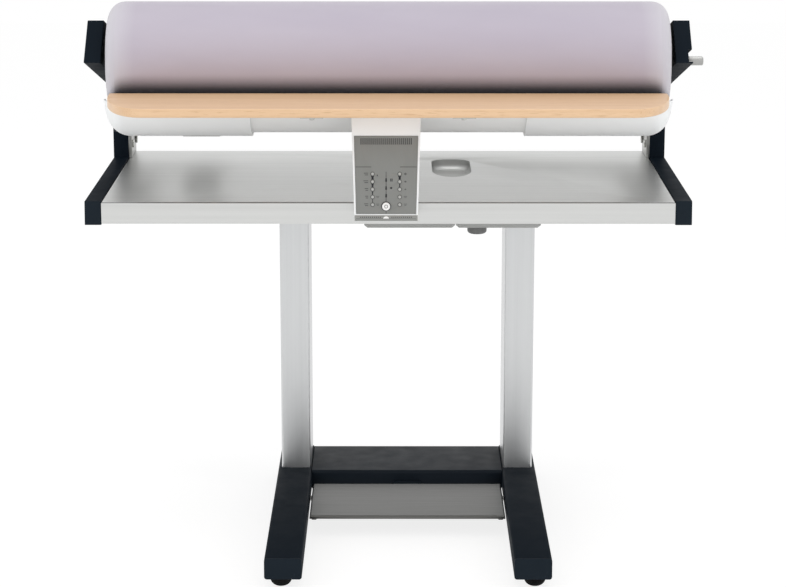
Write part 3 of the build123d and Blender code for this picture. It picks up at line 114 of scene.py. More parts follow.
def for_the_eye(tree, usual, seen, end_kind):
    """Gives one shader to the eye and the other to the light in the room."""
    choice = tree.nodes.new("ShaderNodeMixShader")
    end = tree.nodes.new(end_kind)
    tree.links.new(white_to_the_eye(tree), choice.inputs["Fac"])
    tree.links.new(usual, choice.inputs[1])
    tree.links.new(seen, choice.inputs[2])
    tree.links.new(choice.outputs[0], end.inputs["Surface"])


world = bpy.data.worlds.new("studio_room")
bpy.context.scene.world = world
world.use_nodes = True
sky = world.node_tree
sky.nodes.clear()
for_the_eye(
    sky,
    grey_shader(sky, "ShaderNodeBackground", 1.0, ROOM_LIGHT),
    grey_shader(sky, "ShaderNodeBackground", 1.0, 1.0),
    "ShaderNodeOutputWorld",
)

# The paper that the eye sees has its own white, and takes enough light to keep the shadow.
paper = bpy.data.materials.new("studio_paper")
paper.use_nodes = True
sheet = paper.node_tree
sheet.nodes.clear()
bright_paper = sheet.nodes.new("ShaderNodeAddShader")
sheet.links.new(grey_shader(sheet, "ShaderNodeBsdfDiffuse", SEEN_PAPER), bright_paper.inputs[0])
sheet.links.new(grey_shader(sheet, "ShaderNodeEmission", 1.0, PAPER_GLOW), bright_paper.inputs[1])
for_the_eye(
    sheet,
    grey_shader(sheet, "ShaderNodeBsdfDiffuse", PAPER_WHITE),
    bright_paper.outputs[0],
    "ShaderNodeOutputMaterial",
)

floor_mesh = bpy.data.meshes.new("studio_floor")
half_floor = FLOOR_SIZE / 2
floor_corners = [
    (half_floor * x, half_floor * y, 0) for x, y in ((-1, -1), (1, -1), (1, 1), (-1, 1))
]
floor_mesh.from_pydata(floor_corners, [], [(0, 1, 2, 3)])
floor_mesh.materials.append(paper)
floor = bpy.data.objects.new("studio_floor", floor_mesh)
bpy.context.collection.objects.link(floor)


def soft_box(name, place, aim, width, height, power, in_metal=False):
    """A rectangular lamp turned towards a point, mirrored in metal or not."""
    data = bpy.data.lights.new(name, "AREA")
    data.shape = "RECTANGLE"
    data.size = width
    data.size_y = height
    data.energy = power
    lamp = bpy.data.objects.new(name, data)
    lamp.location = place
    lamp.rotation_euler = (Vector(aim) - Vector(place)).to_track_quat("-Z", "Y").to_euler()
    lamp.visible_glossy = in_metal
    bpy.context.collection.objects.link(lamp)


soft_box(
    "overhead_box", (0.0, -0.3, 2.9), HIGH_AIM, width=2.6, height=1.8, power=20.0, in_metal=True
)
soft_box("left_box", (-2.4, -1.6, 1.4), LOW_AIM, width=1.2, height=1.8, power=16.0)
soft_box("right_box", (2.4, -1.6, 1.4), LOW_AIM, width=1.2, height=1.8, power=16.0)
soft_box("low_front_box", (0.0, -2.4, 0.12), HIGH_AIM, width=2.8, height=0.5, power=7.0)

# ------------------------------ legs and crossbeam
# Rectangular steel tubes welded into an H that stands on the floor, powder coated blue-black.
# Each tube's edges are drawn round, and the coating shows a faint orange peel.
BLUE_BLACK = ((0.0055, 0.0092, 0.0140), (0.0080, 0.0120, 0.0175))
ORANGE_PEEL = {"patches": 9.0, "pits": 700.0, "depth": 0.00004}
COAT_GLOSS = 0.02
BEAM_GLOSS = 0.12
TUBE_EDGE = 0.0006
EVENLY = (1, 1, 1)
GLOSSIER = 0.04
DULLER = 0.06
MERGE_DISTANCE = 0.00002
FLAT_TURN = 0.8
SHARP_TURN = 38.0

carrier = {
    node: body
    for body, nodes in frame["record"]["behaviour"]["bodies"].items()
    for node in nodes
}


def begin_finish(name, tone, roughness, metallic=0.0):
    """A new material with its shader set to one tone and gloss."""
    material = bpy.data.materials.new(name)
    material.use_nodes = True
    tree = material.node_tree
    shader = tree.nodes["Principled BSDF"]
    shader.inputs["Base Color"].default_value = (*tone, 1.0)
    shader.inputs["Roughness"].default_value = roughness
    shader.inputs["Metallic"].default_value = metallic
    return material, tree, shader


def grain(tree, stretch, scale, detail=3.0):
    """Noise on the piece's own coordinates, drawn out by a different amount on each axis."""
    place = tree.nodes.new("ShaderNodeTexCoord")
    mapping = tree.nodes.new("ShaderNodeMapping")
    mapping.inputs["Scale"].default_value = stretch
    noise = tree.nodes.new("ShaderNodeTexNoise")
    noise.inputs["Scale"].default_value = scale
    noise.inputs["Detail"].default_value = detail
    tree.links.new(place.outputs["Object"], mapping.inputs["Vector"])
    tree.links.new(mapping.outputs["Vector"], noise.inputs["Vector"])
    return noise.outputs["Fac"]


def spread(tree, value, low=0.0, high=1.0, start=0.3, end=0.7):
    """Spreads a value's range from start to end over the range from low to high."""
    node = tree.nodes.new("ShaderNodeMapRange")
    node.inputs["From Min"].default_value = start
    node.inputs["From Max"].default_value = end
    node.inputs["To Min"].default_value = low
    node.inputs["To Max"].default_value = high
    tree.links.new(value, node.inputs["Value"])
    return node.outputs["Result"]


def mixed(tree, share, first, second):
    """A tone that goes from the first to the second as the share goes from 0 to 1."""
    mix = tree.nodes.new("ShaderNodeMix")
    mix.data_type = "RGBA"
    tree.links.new(share, mix.inputs["Factor"])
    feed(tree, first, mix.inputs[6])
    feed(tree, second, mix.inputs[7])
    return mix.outputs[2]


def relief(tree, shader, height, depth):
    """Raises the surface by a height value, depth metres at most."""
    bump = tree.nodes.new("ShaderNodeBump")
    bump.inputs["Strength"].default_value = 1.0
    bump.inputs["Distance"].default_value = depth
    tree.links.new(height, bump.inputs["Height"])
    tree.links.new(bump.outputs["Normal"], shader.inputs["Normal"])


def mottled(
    name, tones, roughness, patches, pits=900.0, depth=0.00003, metallic=0.0, specular=0.5
):
    """A finish of two close tones in soft patches, a little uneven in gloss and relief."""
    material, tree, shader = begin_finish(name, tones[0], roughness, metallic)
    shader.inputs["Specular IOR Level"].default_value = specular
    tone = mixed(tree, spread(tree, grain(tree, EVENLY, patches)), *tones)
    gloss = grain(tree, EVENLY, 4 * patches)
    gloss = spread(tree, gloss, roughness - GLOSSIER, roughness + DULLER)
    tree.links.new(tone, shader.inputs["Base Color"])
    tree.links.new(gloss, shader.inputs["Roughness"])
    relief(tree, shader, grain(tree, EVENLY, pits, 2.0), depth)
    return material


def plain_mesh(name, source):
    """A new object whose mesh is the finished result of another, which is removed."""
    view = bpy.context.evaluated_depsgraph_get()
    mesh = bpy.data.meshes.new_from_object(source.evaluated_get(view))
    mesh.name = name
    bpy.data.objects.remove(source)
    piece = bpy.data.objects.new(name, mesh)
    bpy.context.collection.objects.link(piece)
    return piece


def smooth_sides(mesh, sharpest=SHARP_TURN):
    """Shades a mesh smooth except over edges that turn more than the given angle."""
    shape = bmesh.new()
    shape.from_mesh(mesh)
    for face in shape.faces:
        face.smooth = True
    for edge in shape.edges:
        turned = edge.calc_face_angle(pi) if len(edge.link_faces) == 2 else pi
        edge.smooth = turned < radians(sharpest)
    shape.to_mesh(mesh)
    shape.free()


def rounded(draft, edge, steps, sharpest):
    """Rounds a draft's edges that turn more than the given angle."""
    rounding = draft.modifiers.new("edge", "BEVEL")
    rounding.width = edge
    rounding.segments = steps
    rounding.limit_method = "ANGLE"
    rounding.angle_limit = radians(sharpest)


def eased(node, material, edge=0.0, steps=2):
    """A copy of a frame node with its sharp edges rounded, shown in the node's place."""
    mesh = frame["nodes"][node].data.copy()
    shape = bmesh.new()
    shape.from_mesh(mesh)
    bmesh.ops.remove_doubles(shape, verts=shape.verts, dist=MERGE_DISTANCE)
    bmesh.ops.dissolve_limit(
        shape, angle_limit=radians(FLAT_TURN), verts=shape.verts, edges=shape.edges
    )
    shape.to_mesh(mesh)
    shape.free()
    mesh.materials.clear()
    mesh.materials.append(material)
    draft = bpy.data.objects.new(node + "_draft", mesh)
    bpy.context.collection.objects.link(draft)
    if edge > 0.0:
        rounded(draft, edge, steps, SHARP_TURN)
    piece = plain_mesh(node + "_finished", draft)
    smooth_sides(piece.data)
    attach(piece, carrier[node])
    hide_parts(node)


powder_coat = mottled(
    "blue_black_powder_coat", BLUE_BLACK, roughness=0.5, specular=COAT_GLOSS, **ORANGE_PEEL
)
beam_coat = mottled(
    "glossier_powder_coat", BLUE_BLACK, roughness=0.5, specular=BEAM_GLOSS, **ORANGE_PEEL
)
for tube in ("left_leg", "right_leg"):
    eased(tube, powder_coat, TUBE_EDGE)
eased("crossbeam", beam_coat, TUBE_EDGE)

# ------------------------------ leg caps, bushes and feet
# Moulded caps close the four tube ends. Under them stand rubber-domed levelling feet on
# threaded studs, which screw into bushes welded inside the legs.
MOULDED_BLACK = ((0.0125, 0.0180, 0.0245), (0.0150, 0.0210, 0.0280))
RUBBER_BLACK = ((0.010, 0.010, 0.011), (0.018, 0.0175, 0.017))
WELD_STEEL = ((0.42, 0.42, 0.41), (0.52, 0.52, 0.5))
CAP_EDGE = 0.0012
RUBBER_EDGE = 0.0006


def dress(material, node):
    """Gives a finish to a node that is shown as the frame has it."""
    for place in frame["nodes"][node].material_slots:
        place.material = material


moulded_black = mottled(
    "moulded_black",
    MOULDED_BLACK,
    roughness=0.5,
    patches=12.0,
    pits=1600.0,
    depth=0.00006,
    specular=COAT_GLOSS,
)
foot_rubber = mottled(
    "foot_rubber", RUBBER_BLACK, roughness=0.7, patches=60.0, depth=0.0001, specular=COAT_GLOSS
)
plain_steel = mottled("plain_steel", WELD_STEEL, roughness=0.4, patches=25.0, metallic=1.0)
eased("leg_caps", moulded_black, CAP_EDGE, steps=3)
dress(plain_steel, "foot_bushes")
for foot in ("front_left_foot", "front_right_foot", "rear_left_foot", "rear_right_foot"):
    eased(foot, foot_rubber, RUBBER_EDGE)

# ------------------------------ columns
# Two rectangular tubes of brushed steel, satin along their length, welded to the legs below
# and to flat head plates above.
COLUMN_STEEL = ((0.645, 0.655, 0.660), (0.615, 0.625, 0.630))
SCRATCHES_ACROSS = 1400.0
SCRATCHES_ALONG = 9.0
STREAKS_ACROSS = 160.0
STREAKS_ALONG = 1.6
SCRATCH_DEPTH = 0.00003
SCRATCH_GLOSSIER = 0.05
SCRATCH_DULLER = 0.07
ALONG_X = 0
ALONG_Z = 2


def brushed(name, tones, roughness, axis, painted_light=None):
    """Brushed steel: long fine scratches along one axis, on which painted light may lie."""
    material, tree, shader = begin_finish(name, tones[0], roughness, 1.0)
    fine = [SCRATCHES_ACROSS] * 3
    fine[axis] = SCRATCHES_ALONG
    broad = [STREAKS_ACROSS] * 3
    broad[axis] = STREAKS_ALONG
    scratches = grain(tree, fine, 1.0, 2.0)
    tone = mixed(tree, spread(tree, grain(tree, broad, 1.0)), tones[1], tones[0])
    if painted_light:
        tone = painted_light(tree, tone)
    gloss = spread(tree, scratches, roughness - SCRATCH_GLOSSIER, roughness + SCRATCH_DULLER)
    tree.links.new(tone, shader.inputs["Base Color"])
    tree.links.new(gloss, shader.inputs["Roughness"])
    relief(tree, shader, scratches, SCRATCH_DEPTH)
    return material


column_steel = brushed("column_steel", COLUMN_STEEL, roughness=0.34, axis=ALONG_Z)
for column in ("left_column", "right_column"):
    eased(column, column_steel)

# ------------------------------ pedal
# A folded plate of brushed steel that rocks on two silver pins between the legs, in rubber
# torsion bushes, with rubber stops under its front corners and a switch behind it.
PEDAL_STEEL = ((0.150, 0.150, 0.145), (0.135, 0.135, 0.130))
PIN_STEEL = ((0.62, 0.62, 0.61), (0.55, 0.55, 0.54))

pedal_steel = brushed("pedal_steel", PEDAL_STEEL, roughness=0.36, axis=ALONG_X)
pin_steel = brushed("pin_steel", PIN_STEEL, roughness=0.25, axis=ALONG_X)
eased("pedal_plate", pedal_steel, edge=0.0005)
eased("pedal_pins", pin_steel, edge=0.0004)
eased("pedal_tips", foot_rubber, RUBBER_EDGE)
dress(foot_rubber, "pedal_bushes")
eased("pedal_switch", moulded_black, edge=0.0006)

# ------------------------------ linen tray
# One sheet of stainless steel folded down on all sides, brushed from side to side, with a
# pressed hand recess spot-welded under its hole. A fine dark line of painted reflection runs
# along the front fold, where the rounded fold would mirror the dark room.
TRAY_STEEL = ((0.66, 0.665, 0.655), (0.61, 0.615, 0.605))
CUP_STEEL = ((0.52, 0.525, 0.515), (0.47, 0.475, 0.465))
# Painted reflection: the dark tone of the line along the front fold.
FOLD_PAINTED_REFLECTION = (0.060, 0.062, 0.066)
FOLD_BAND = 0.0016


def corners(node):
    """The lowest and the highest corner of a frame node's box."""
    return (Vector(corner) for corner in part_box(node))


def along(tree, axis):
    """The piece's own coordinate along one axis."""
    place = tree.nodes.new("ShaderNodeTexCoord")
    axes = tree.nodes.new("ShaderNodeSeparateXYZ")
    tree.links.new(place.outputs["Object"], axes.inputs["Vector"])
    return axes.outputs[axis]


def painted_fold_reflection(tree, tone):
    """Paints a dark line of painted reflection along the tray's front fold."""
    low, high = corners("tray")
    top = high.z - FOLD_BAND
    back = low.y + FOLD_BAND / 2
    near_top = spread(tree, along(tree, "Z"), 0.0, 1.0, top, top + FOLD_BAND / 4)
    near_front = spread(tree, along(tree, "Y"), 1.0, 0.0, back, back + FOLD_BAND / 4)
    return mixed(tree, worked(tree, "MINIMUM", near_top, near_front), tone, FOLD_PAINTED_REFLECTION)


tray_steel = brushed("tray_steel", TRAY_STEEL, roughness=0.36, axis=ALONG_X, painted_light=painted_fold_reflection)
cup_steel = brushed("cup_steel", CUP_STEEL, roughness=0.52, axis=ALONG_X)
eased("tray", tray_steel, edge=0.0003)
eased("recess_cup", cup_steel)

# ------------------------------ under the tray
# A square head beam carries the tray on the columns and is bolted to their head plates.
# Two sheet-metal boxes hold the electronics and the mains terminals, with a cable gland.
BOX_PAINT = ((0.40, 0.405, 0.395), (0.37, 0.375, 0.365))
GLAND_GREY = ((0.16, 0.162, 0.160), (0.14, 0.142, 0.140))
ZINC_PLATE = ((0.60, 0.60, 0.57), (0.52, 0.525, 0.50))
BOLT_EDGE = 0.0004

box_paint = mottled(
    "box_paint", BOX_PAINT, roughness=0.5, patches=14.0, pits=800.0, depth=0.00005
)
gland_grey = mottled("gland_grey", GLAND_GREY, roughness=0.5, patches=60.0, depth=0.00005)
zinc = mottled(
    "zinc_plate",
    ZINC_PLATE,
    roughness=0.34,
    patches=200.0,
    pits=1500.0,
    depth=0.00002,
    metallic=1.0,
)
eased("head_beam", plain_steel, edge=0.0008)
eased("head_bolts", zinc, BOLT_EDGE)
for box in ("electronics_box", "terminal_box"):
    eased(box, box_paint, edge=0.0006)
eased("mains_gland", gland_grey, edge=0.0004)

# ------------------------------ side frames
# Two C-shaped frames of cast box section in the same blue-black coat. The noses are solid
# round the roller's bearings, and plastic caps close the fronts of the lower arms.
for side_frame in ("left_side_frame", "right_side_frame"):
    eased(side_frame, powder_coat, edge=0.0011, steps=3)
eased("arm_caps", moulded_black, edge=0.001, steps=3)

# ------------------------------ pivots and lift drive
# Steel plates bolted inside the posts carry the shoe's pivot pins, the crossbar and the lift
# shaft, whose two snail cams push the shoe up under the roller.
CAM_STEEL = ((0.50, 0.49, 0.47), (0.42, 0.42, 0.43))
MOTOR_GREY = ((0.80, 0.81, 0.81), (0.76, 0.77, 0.77))
MOTOR_EDGE = 0.0008

cam_steel = mottled(
    "hardened_steel",
    CAM_STEEL,
    roughness=0.28,
    patches=120.0,
    pits=1400.0,
    depth=0.00002,
    metallic=1.0,
)
motor_paint = mottled(
    "motor_paint", MOTOR_GREY, roughness=0.45, patches=30.0, pits=600.0, depth=0.00006
)
for plate in ("left_pivot_plate", "right_pivot_plate"):
    eased(plate, plain_steel, edge=0.0006)
eased("plate_bolts", zinc, BOLT_EDGE)
eased("pivot_pins", cam_steel, edge=0.0005)
eased("rear_crossbar", plain_steel, edge=0.0005)
eased("lift_motor", motor_paint, MOTOR_EDGE)
eased("lift_shaft", cam_steel, edge=0.0004)
eased("lift_cams", cam_steel, edge=0.0003)

# ------------------------------ roller cover
# A sleeve of white cotton drawn tight over felt and gathered round both ends by a cord in
# its hem. It gives the roller its soft round shoulders.
COTTON = ((0.445, 0.405, 0.480), (0.480, 0.440, 0.510))
# A painted highlight: the lighter tone of the sleeve's ends.
COTTON_PAINTED_HIGHLIGHT = (0.60, 0.585, 0.625)
HIGHLIGHT_REACH = 0.045
# Painted shade: the dark tone of the cloth in the nip.
NIP_PAINTED_SHADE = (0.018, 0.017, 0.022)
NIP_REACH = 0.040
NIP_DARKEST = 0.4
NIP_LIGHTEST = 0.85
NIP_SAMPLES = 8
CLOTH_RUN = (0.6, 2.0, 2.0)
CLOTH_PATCHES = 6.0
THREADS = 260.0
WEAVE_DEPTH = 0.00012
SHOULDER = 0.025
SLEEVE_THICKNESS = 0.0018
MOUTH_RADIUS = 0.046
END_RADIUS = 0.056
ROUND_STEPS = 144
BARREL_STEPS = 10
PUCKERS = 40
PUCKER_DEPTH = 0.0007
PUCKER_LEAN = 7.0
PUCKER_START = 0.012
SEAM_DISTANCE = 0.000001

cover_low, cover_high = corners("roller_cover")
roller_x = (cover_low.x + cover_high.x) / 2
roller_y = (cover_low.y + cover_high.y) / 2
roller_z = (cover_low.z + cover_high.z) / 2
roller_half = (cover_high.x - cover_low.x) / 2
roller_radius = (cover_high.z - cover_low.z) / 2


def bend(x, radius, size, start, end, steps=8):
    """Points of a round corner in a lengthwise section, given as (x, radius) pairs."""
    points = []
    for step in range(steps + 1):
        turn = radians(start + (end - start) * step / steps)
        points.append((x + size * cos(turn), radius + size * sin(turn)))
    return points


def mesh_object(name, points, faces, material):
    """A piece with a mesh of its own, standing at the origin."""
    mesh = bpy.data.meshes.new(name)
    mesh.from_pydata([tuple(point) for point in points], [], faces)
    mesh.materials.append(material)
    piece = bpy.data.objects.new(name, mesh)
    bpy.context.collection.objects.link(piece)
    return piece


def closed(piece):
    """Merges a mesh's doubles, turns its faces outwards and shades it smooth."""
    shape = bmesh.new()
    shape.from_mesh(piece.data)
    bmesh.ops.remove_doubles(shape, verts=shape.verts, dist=SEAM_DISTANCE)
    bmesh.ops.recalc_face_normals(shape, faces=shape.faces)
    shape.to_mesh(piece.data)
    shape.free()
    smooth_sides(piece.data)


def gathered(radius, turn):
    """Puckers of the sleeve's ends: none on the barrel, deepest at the mouth."""
    depth = (roller_radius - PUCKER_START - radius) / (roller_radius - MOUTH_RADIUS)
    depth = max(0.0, depth)
    return PUCKER_DEPTH * depth * sin(PUCKERS * turn + PUCKER_LEAN * depth)


def spun(name, section, material):
    """A closed section of (x, radius) points spun about the roller's axis, with its puckers."""
    points = []
    for step in range(ROUND_STEPS):
        turn = 2 * pi * step / ROUND_STEPS
        for x, radius in section:
            reach = radius + gathered(radius, turn)
            points.append(
                (roller_x + x, roller_y + reach * cos(turn), roller_z + reach * sin(turn))
            )
    count = len(section)
    faces = []
    for step in range(ROUND_STEPS):
        here = step * count
        there = (step + 1) % ROUND_STEPS * count
        for index in range(count):
            following = (index + 1) % count
            faces.append((here + index, here + following, there + following, there + index))
    piece = mesh_object(name, points, faces, material)
    closed(piece)
    return piece


def sleeve_section():
    """Lengthwise section of the sleeve, its outer face and then its inner face."""
    shoulder_x = roller_half - SHOULDER
    shoulder_radius = roller_radius - SHOULDER
    outer = [(-roller_half, MOUTH_RADIUS), (-roller_half, END_RADIUS)]
    outer += bend(-shoulder_x, shoulder_radius, SHOULDER, 180, 90)
    for step in range(1 - BARREL_STEPS, BARREL_STEPS):
        outer.append((step * roller_half / BARREL_STEPS, roller_radius))
    outer += bend(shoulder_x, shoulder_radius, SHOULDER, 90, 0)
    outer += [(roller_half, END_RADIUS), (roller_half, MOUTH_RADIUS)]
    inner_half = roller_half - SLEEVE_THICKNESS
    inner_radius = roller_radius - SLEEVE_THICKNESS
    inner = [
        (max(-inner_half, min(inner_half, x)), min(radius, inner_radius))
        for x, radius in reversed(outer)
    ]
    return outer + inner


cotton, tree, shader = begin_finish("quilted_cotton", COTTON[1], roughness=0.9)
shader.inputs["Sheen Weight"].default_value = 0.3
shader.inputs["Sheen Roughness"].default_value = 0.5
weave_place = tree.nodes.new("ShaderNodeTexCoord")
threads = []
for bands in ("X", "Z"):
    thread = tree.nodes.new("ShaderNodeTexWave")
    thread.wave_type = "BANDS"
    thread.bands_direction = bands
    thread.inputs["Scale"].default_value = THREADS
    tree.links.new(weave_place.outputs["Object"], thread.inputs["Vector"])
    threads.append(thread.outputs["Fac"])
relief(tree, shader, worked(tree, "MULTIPLY", *threads), WEAVE_DEPTH)
cloth_tone = mixed(tree, spread(tree, grain(tree, CLOTH_RUN, CLOTH_PATCHES)), *COTTON)
# The ends are painted lighter, a painted highlight where the round shoulders catch the side
# light.
from_middle = worked(tree, "ABSOLUTE", worked(tree, "SUBTRACT", along(tree, "X"), roller_x))
ends_highlight_share = spread(tree, from_middle, 0.0, 1.0, roller_half - HIGHLIGHT_REACH, roller_half)
cloth_tone = mixed(tree, ends_highlight_share, cloth_tone, COTTON_PAINTED_HIGHLIGHT)
# Painted shade: the cloth is darkened where it comes close to the board and the shoe, in the nip.
nearness = tree.nodes.new("ShaderNodeAmbientOcclusion")
nearness.inputs["Distance"].default_value = NIP_REACH
nearness.samples = NIP_SAMPLES
open_share = spread(tree, nearness.outputs["AO"], 0.0, 1.0, NIP_DARKEST, NIP_LIGHTEST)
cloth_tone = mixed(tree, open_share, NIP_PAINTED_SHADE, cloth_tone)
tree.links.new(cloth_tone, shader.inputs["Base Color"])

sleeve = spun("cotton_sleeve", sleeve_section(), cotton)
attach(sleeve, "roller")
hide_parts("roller_cover")

# ------------------------------ hem stitches
# A row of short stitches in white thread stands on each end of the sleeve and closes the hem
# in which the cord runs.
HEM_THREAD = ((0.78, 0.76, 0.78), (0.70, 0.68, 0.70))
HEM_RADIUS = 0.0510
HEM_STITCHES = 84
STITCH_LENGTH = 0.0025
STITCH_RADIUS = 0.0004
STITCH_SIDES = 6
HEM_STEPS = 96


def node_maker(name, inputs):
    """A new Geometry Nodes tree with named inputs; gives the tree, its inputs and its output."""
    tree = bpy.data.node_groups.new(name, "GeometryNodeTree")
    tree.interface.new_socket(name="Geometry", in_out="OUTPUT", socket_type="NodeSocketGeometry")
    for label, kind, value in inputs:
        socket = tree.interface.new_socket(name=label, in_out="INPUT", socket_type=kind)
        socket.default_value = value
    start = tree.nodes.new("NodeGroupInput")
    finish = tree.nodes.new("NodeGroupOutput")
    return tree, start, finish


def spread_out(tree, points, shape, turns, material, finish):
    """Puts a copy of a shape on every point, makes them real and gives them a finish."""
    copies = tree.nodes.new("GeometryNodeInstanceOnPoints")
    real = tree.nodes.new("GeometryNodeRealizeInstances")
    coat = tree.nodes.new("GeometryNodeSetMaterial")
    coat.inputs["Material"].default_value = material
    tree.links.new(points, copies.inputs["Points"])
    tree.links.new(shape, copies.inputs["Instance"])
    if turns is not None:
        tree.links.new(turns, copies.inputs["Rotation"])
    tree.links.new(copies.outputs["Instances"], real.inputs["Geometry"])
    tree.links.new(real.outputs["Geometry"], coat.inputs["Geometry"])
    tree.links.new(coat.outputs["Geometry"], finish.inputs["Geometry"])


def grown(name, tree, values=()):
    """The plain mesh that a tree makes from these values of its inputs."""
    seed = bpy.data.objects.new(name + "_seed", bpy.data.meshes.new(name + "_seed"))
    bpy.context.collection.objects.link(seed)
    maker = seed.modifiers.new("maker", "NODES")
    maker.node_group = tree
    chosen = dict(values)
    for socket in tree.interface.items_tree:
        if socket.in_out == "INPUT":
            maker[socket.identifier] = chosen.get(socket.name, socket.default_value)
    return plain_mesh(name, seed)


hem_thread = mottled(
    "hem_thread", HEM_THREAD, roughness=0.8, patches=900.0, pits=3000.0, depth=0.00005
)
hem_maker, start, finish = node_maker(
    "hem_stitch_maker",
    (
        ("Hem Radius", "NodeSocketFloat", HEM_RADIUS),
        ("Stitches", "NodeSocketInt", HEM_STITCHES),
        ("Stitch Length", "NodeSocketFloat", STITCH_LENGTH),
        ("Thread Radius", "NodeSocketFloat", STITCH_RADIUS),
    ),
)
hem_line = hem_maker.nodes.new("GeometryNodeCurvePrimitiveCircle")
hem_line.inputs["Resolution"].default_value = HEM_STEPS
hem_places = hem_maker.nodes.new("GeometryNodeCurveToPoints")
stitch = hem_maker.nodes.new("GeometryNodeMeshCylinder")
stitch.inputs["Vertices"].default_value = STITCH_SIDES
hem_maker.links.new(start.outputs["Hem Radius"], hem_line.inputs["Radius"])
hem_maker.links.new(hem_line.outputs["Curve"], hem_places.inputs["Curve"])
hem_maker.links.new(start.outputs["Stitches"], hem_places.inputs["Count"])
hem_maker.links.new(start.outputs["Thread Radius"], stitch.inputs["Radius"])
hem_maker.links.new(start.outputs["Stitch Length"], stitch.inputs["Depth"])
spread_out(
    hem_maker,
    hem_places.outputs["Points"],
    stitch.outputs["Mesh"],
    hem_places.outputs["Rotation"],
    hem_thread,
    finish,
)
for side, end_x in (("left", cover_low.x), ("right", cover_high.x)):
    hem = grown("hem_stitches_" + side, hem_maker)
    hem.data.transform(
        Matrix.Translation((end_x, roller_y, roller_z)) @ Matrix.Rotation(pi / 2, 4, "Y")
    )
    closed(hem)
    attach(hem, "roller")

# ------------------------------ inside the roller
# Felt wound on a steel tube, cast discs with lightening pockets at its ends, a tubular gear
# motor that turns it through a crown, and a right axle with a hexagonal crank stub.
FELT = ((0.56, 0.54, 0.49), (0.47, 0.45, 0.41))
CAST_ALUMINIUM = ((0.58, 0.58, 0.59), (0.50, 0.50, 0.51))
GROUND_STEEL = ((0.58, 0.58, 0.59), (0.5, 0.5, 0.51))
STUB_STEEL = ((0.46, 0.46, 0.45), (0.38, 0.38, 0.37))

felt = mottled("wound_felt", FELT, roughness=0.9, patches=150.0, pits=500.0, depth=0.0005)
cast_aluminium = mottled(
    "cast_aluminium",
    CAST_ALUMINIUM,
    roughness=0.45,
    patches=60.0,
    pits=350.0,
    depth=0.0001,
    metallic=1.0,
)
ground_steel = brushed("ground_steel", GROUND_STEEL, roughness=0.2, axis=ALONG_X)
stub_steel = brushed("stub_steel", STUB_STEEL, roughness=0.3, axis=ALONG_X)
eased("roller_padding", felt)
eased("roller_tube", plain_steel, edge=0.0004)
for disc in ("left_end_disc", "right_end_disc", "drive_crown"):
    eased(disc, cast_aluminium, edge=0.0008)
for bearing in ("left_bearing", "right_bearing"):
    eased(bearing, ground_steel, edge=0.0006)
eased("roller_motor", motor_paint, MOTOR_EDGE)
eased("crank_axle", stub_steel, edge=0.0004)

# ------------------------------ heated shoe
# A curved plate of polished aluminium with a silicone heater mat, glass cloth and a thin
# steel casing behind it, held by two arms that swing on the pivot pins.
POLISHED_SHOE = ((0.74, 0.74, 0.75), (0.68, 0.68, 0.69))
CASING_PAINT = ((0.89, 0.895, 0.89), (0.86, 0.865, 0.86))
HEATER_RED = ((0.33, 0.07, 0.04), (0.24, 0.05, 0.03))
GLASS_CLOTH = ((0.68, 0.63, 0.45), (0.56, 0.51, 0.36))
TROUGH_STEPS = 72
PLATE_FACE_DEPTH = 0.0095
CASING_WALL = 0.0015

casing_low, casing_high = corners("shoe_casing")
shoe_top = casing_high.z
shoe_y = (casing_low.y + casing_high.y) / 2
casing_half_width = (casing_high.y - casing_low.y) / 2
casing_depth = casing_high.z - casing_low.z
casing_radius = (casing_half_width**2 + casing_depth**2) / (2 * casing_depth)
shoe_z = casing_low.z + casing_radius


def trough(name, section, material):
    """A closed section of (x, radius) points swept under the roller, cut level at its top."""
    below = shoe_z - shoe_top
    points = []
    for step in range(TROUGH_STEPS + 1):
        share = 2 * step / TROUGH_STEPS - 1
        for x, radius in section:
            swing = share * acos(below / radius)
            points.append(
                (roller_x + x, shoe_y + radius * sin(swing), shoe_z - radius * cos(swing))
            )
    count = len(section)
    last = TROUGH_STEPS * count
    faces = [tuple(range(count)), tuple(range(last, last + count))[::-1]]
    for here in range(0, last, count):
        there = here + count
        for index in range(count):
            following = (index + 1) % count
            faces.append((here + index, there + index, there + following, here + following))
    piece = mesh_object(name, points, faces, material)
    closed(piece)
    return piece


def layer(name, node, material, inner):
    """One layer of the shoe, from an inner radius out to its node's, and as long as the node."""
    low, high = corners(node)
    outer = shoe_z - low.z
    half = (high.x - low.x) / 2
    section = [(-half, outer), (half, outer), (half, inner), (-half, inner)]
    piece = trough(name, section, material)
    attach(piece, "press_shoe")
    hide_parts(node)


polished = brushed("polished_shoe", POLISHED_SHOE, roughness=0.16, axis=ALONG_X)
casing_white = mottled("casing_paint", CASING_PAINT, roughness=0.35, patches=8.0)
heater_silicone = mottled(
    "heater_silicone", HEATER_RED, roughness=0.6, patches=40.0, pits=400.0, depth=0.0001
)
glass_cloth = mottled(
    "glass_cloth", GLASS_CLOTH, roughness=0.85, patches=300.0, pits=600.0, depth=0.0003
)
layer(
    "polished_shoe_plate",
    "shoe_plate",
    polished,
    casing_radius - PLATE_FACE_DEPTH,
)
layer("painted_casing", "shoe_casing", casing_white, casing_radius - CASING_WALL)
dress(heater_silicone, "heater_mat")
dress(glass_cloth, "shoe_insulation")
eased("shoe_arms", plain_steel, edge=0.0008)

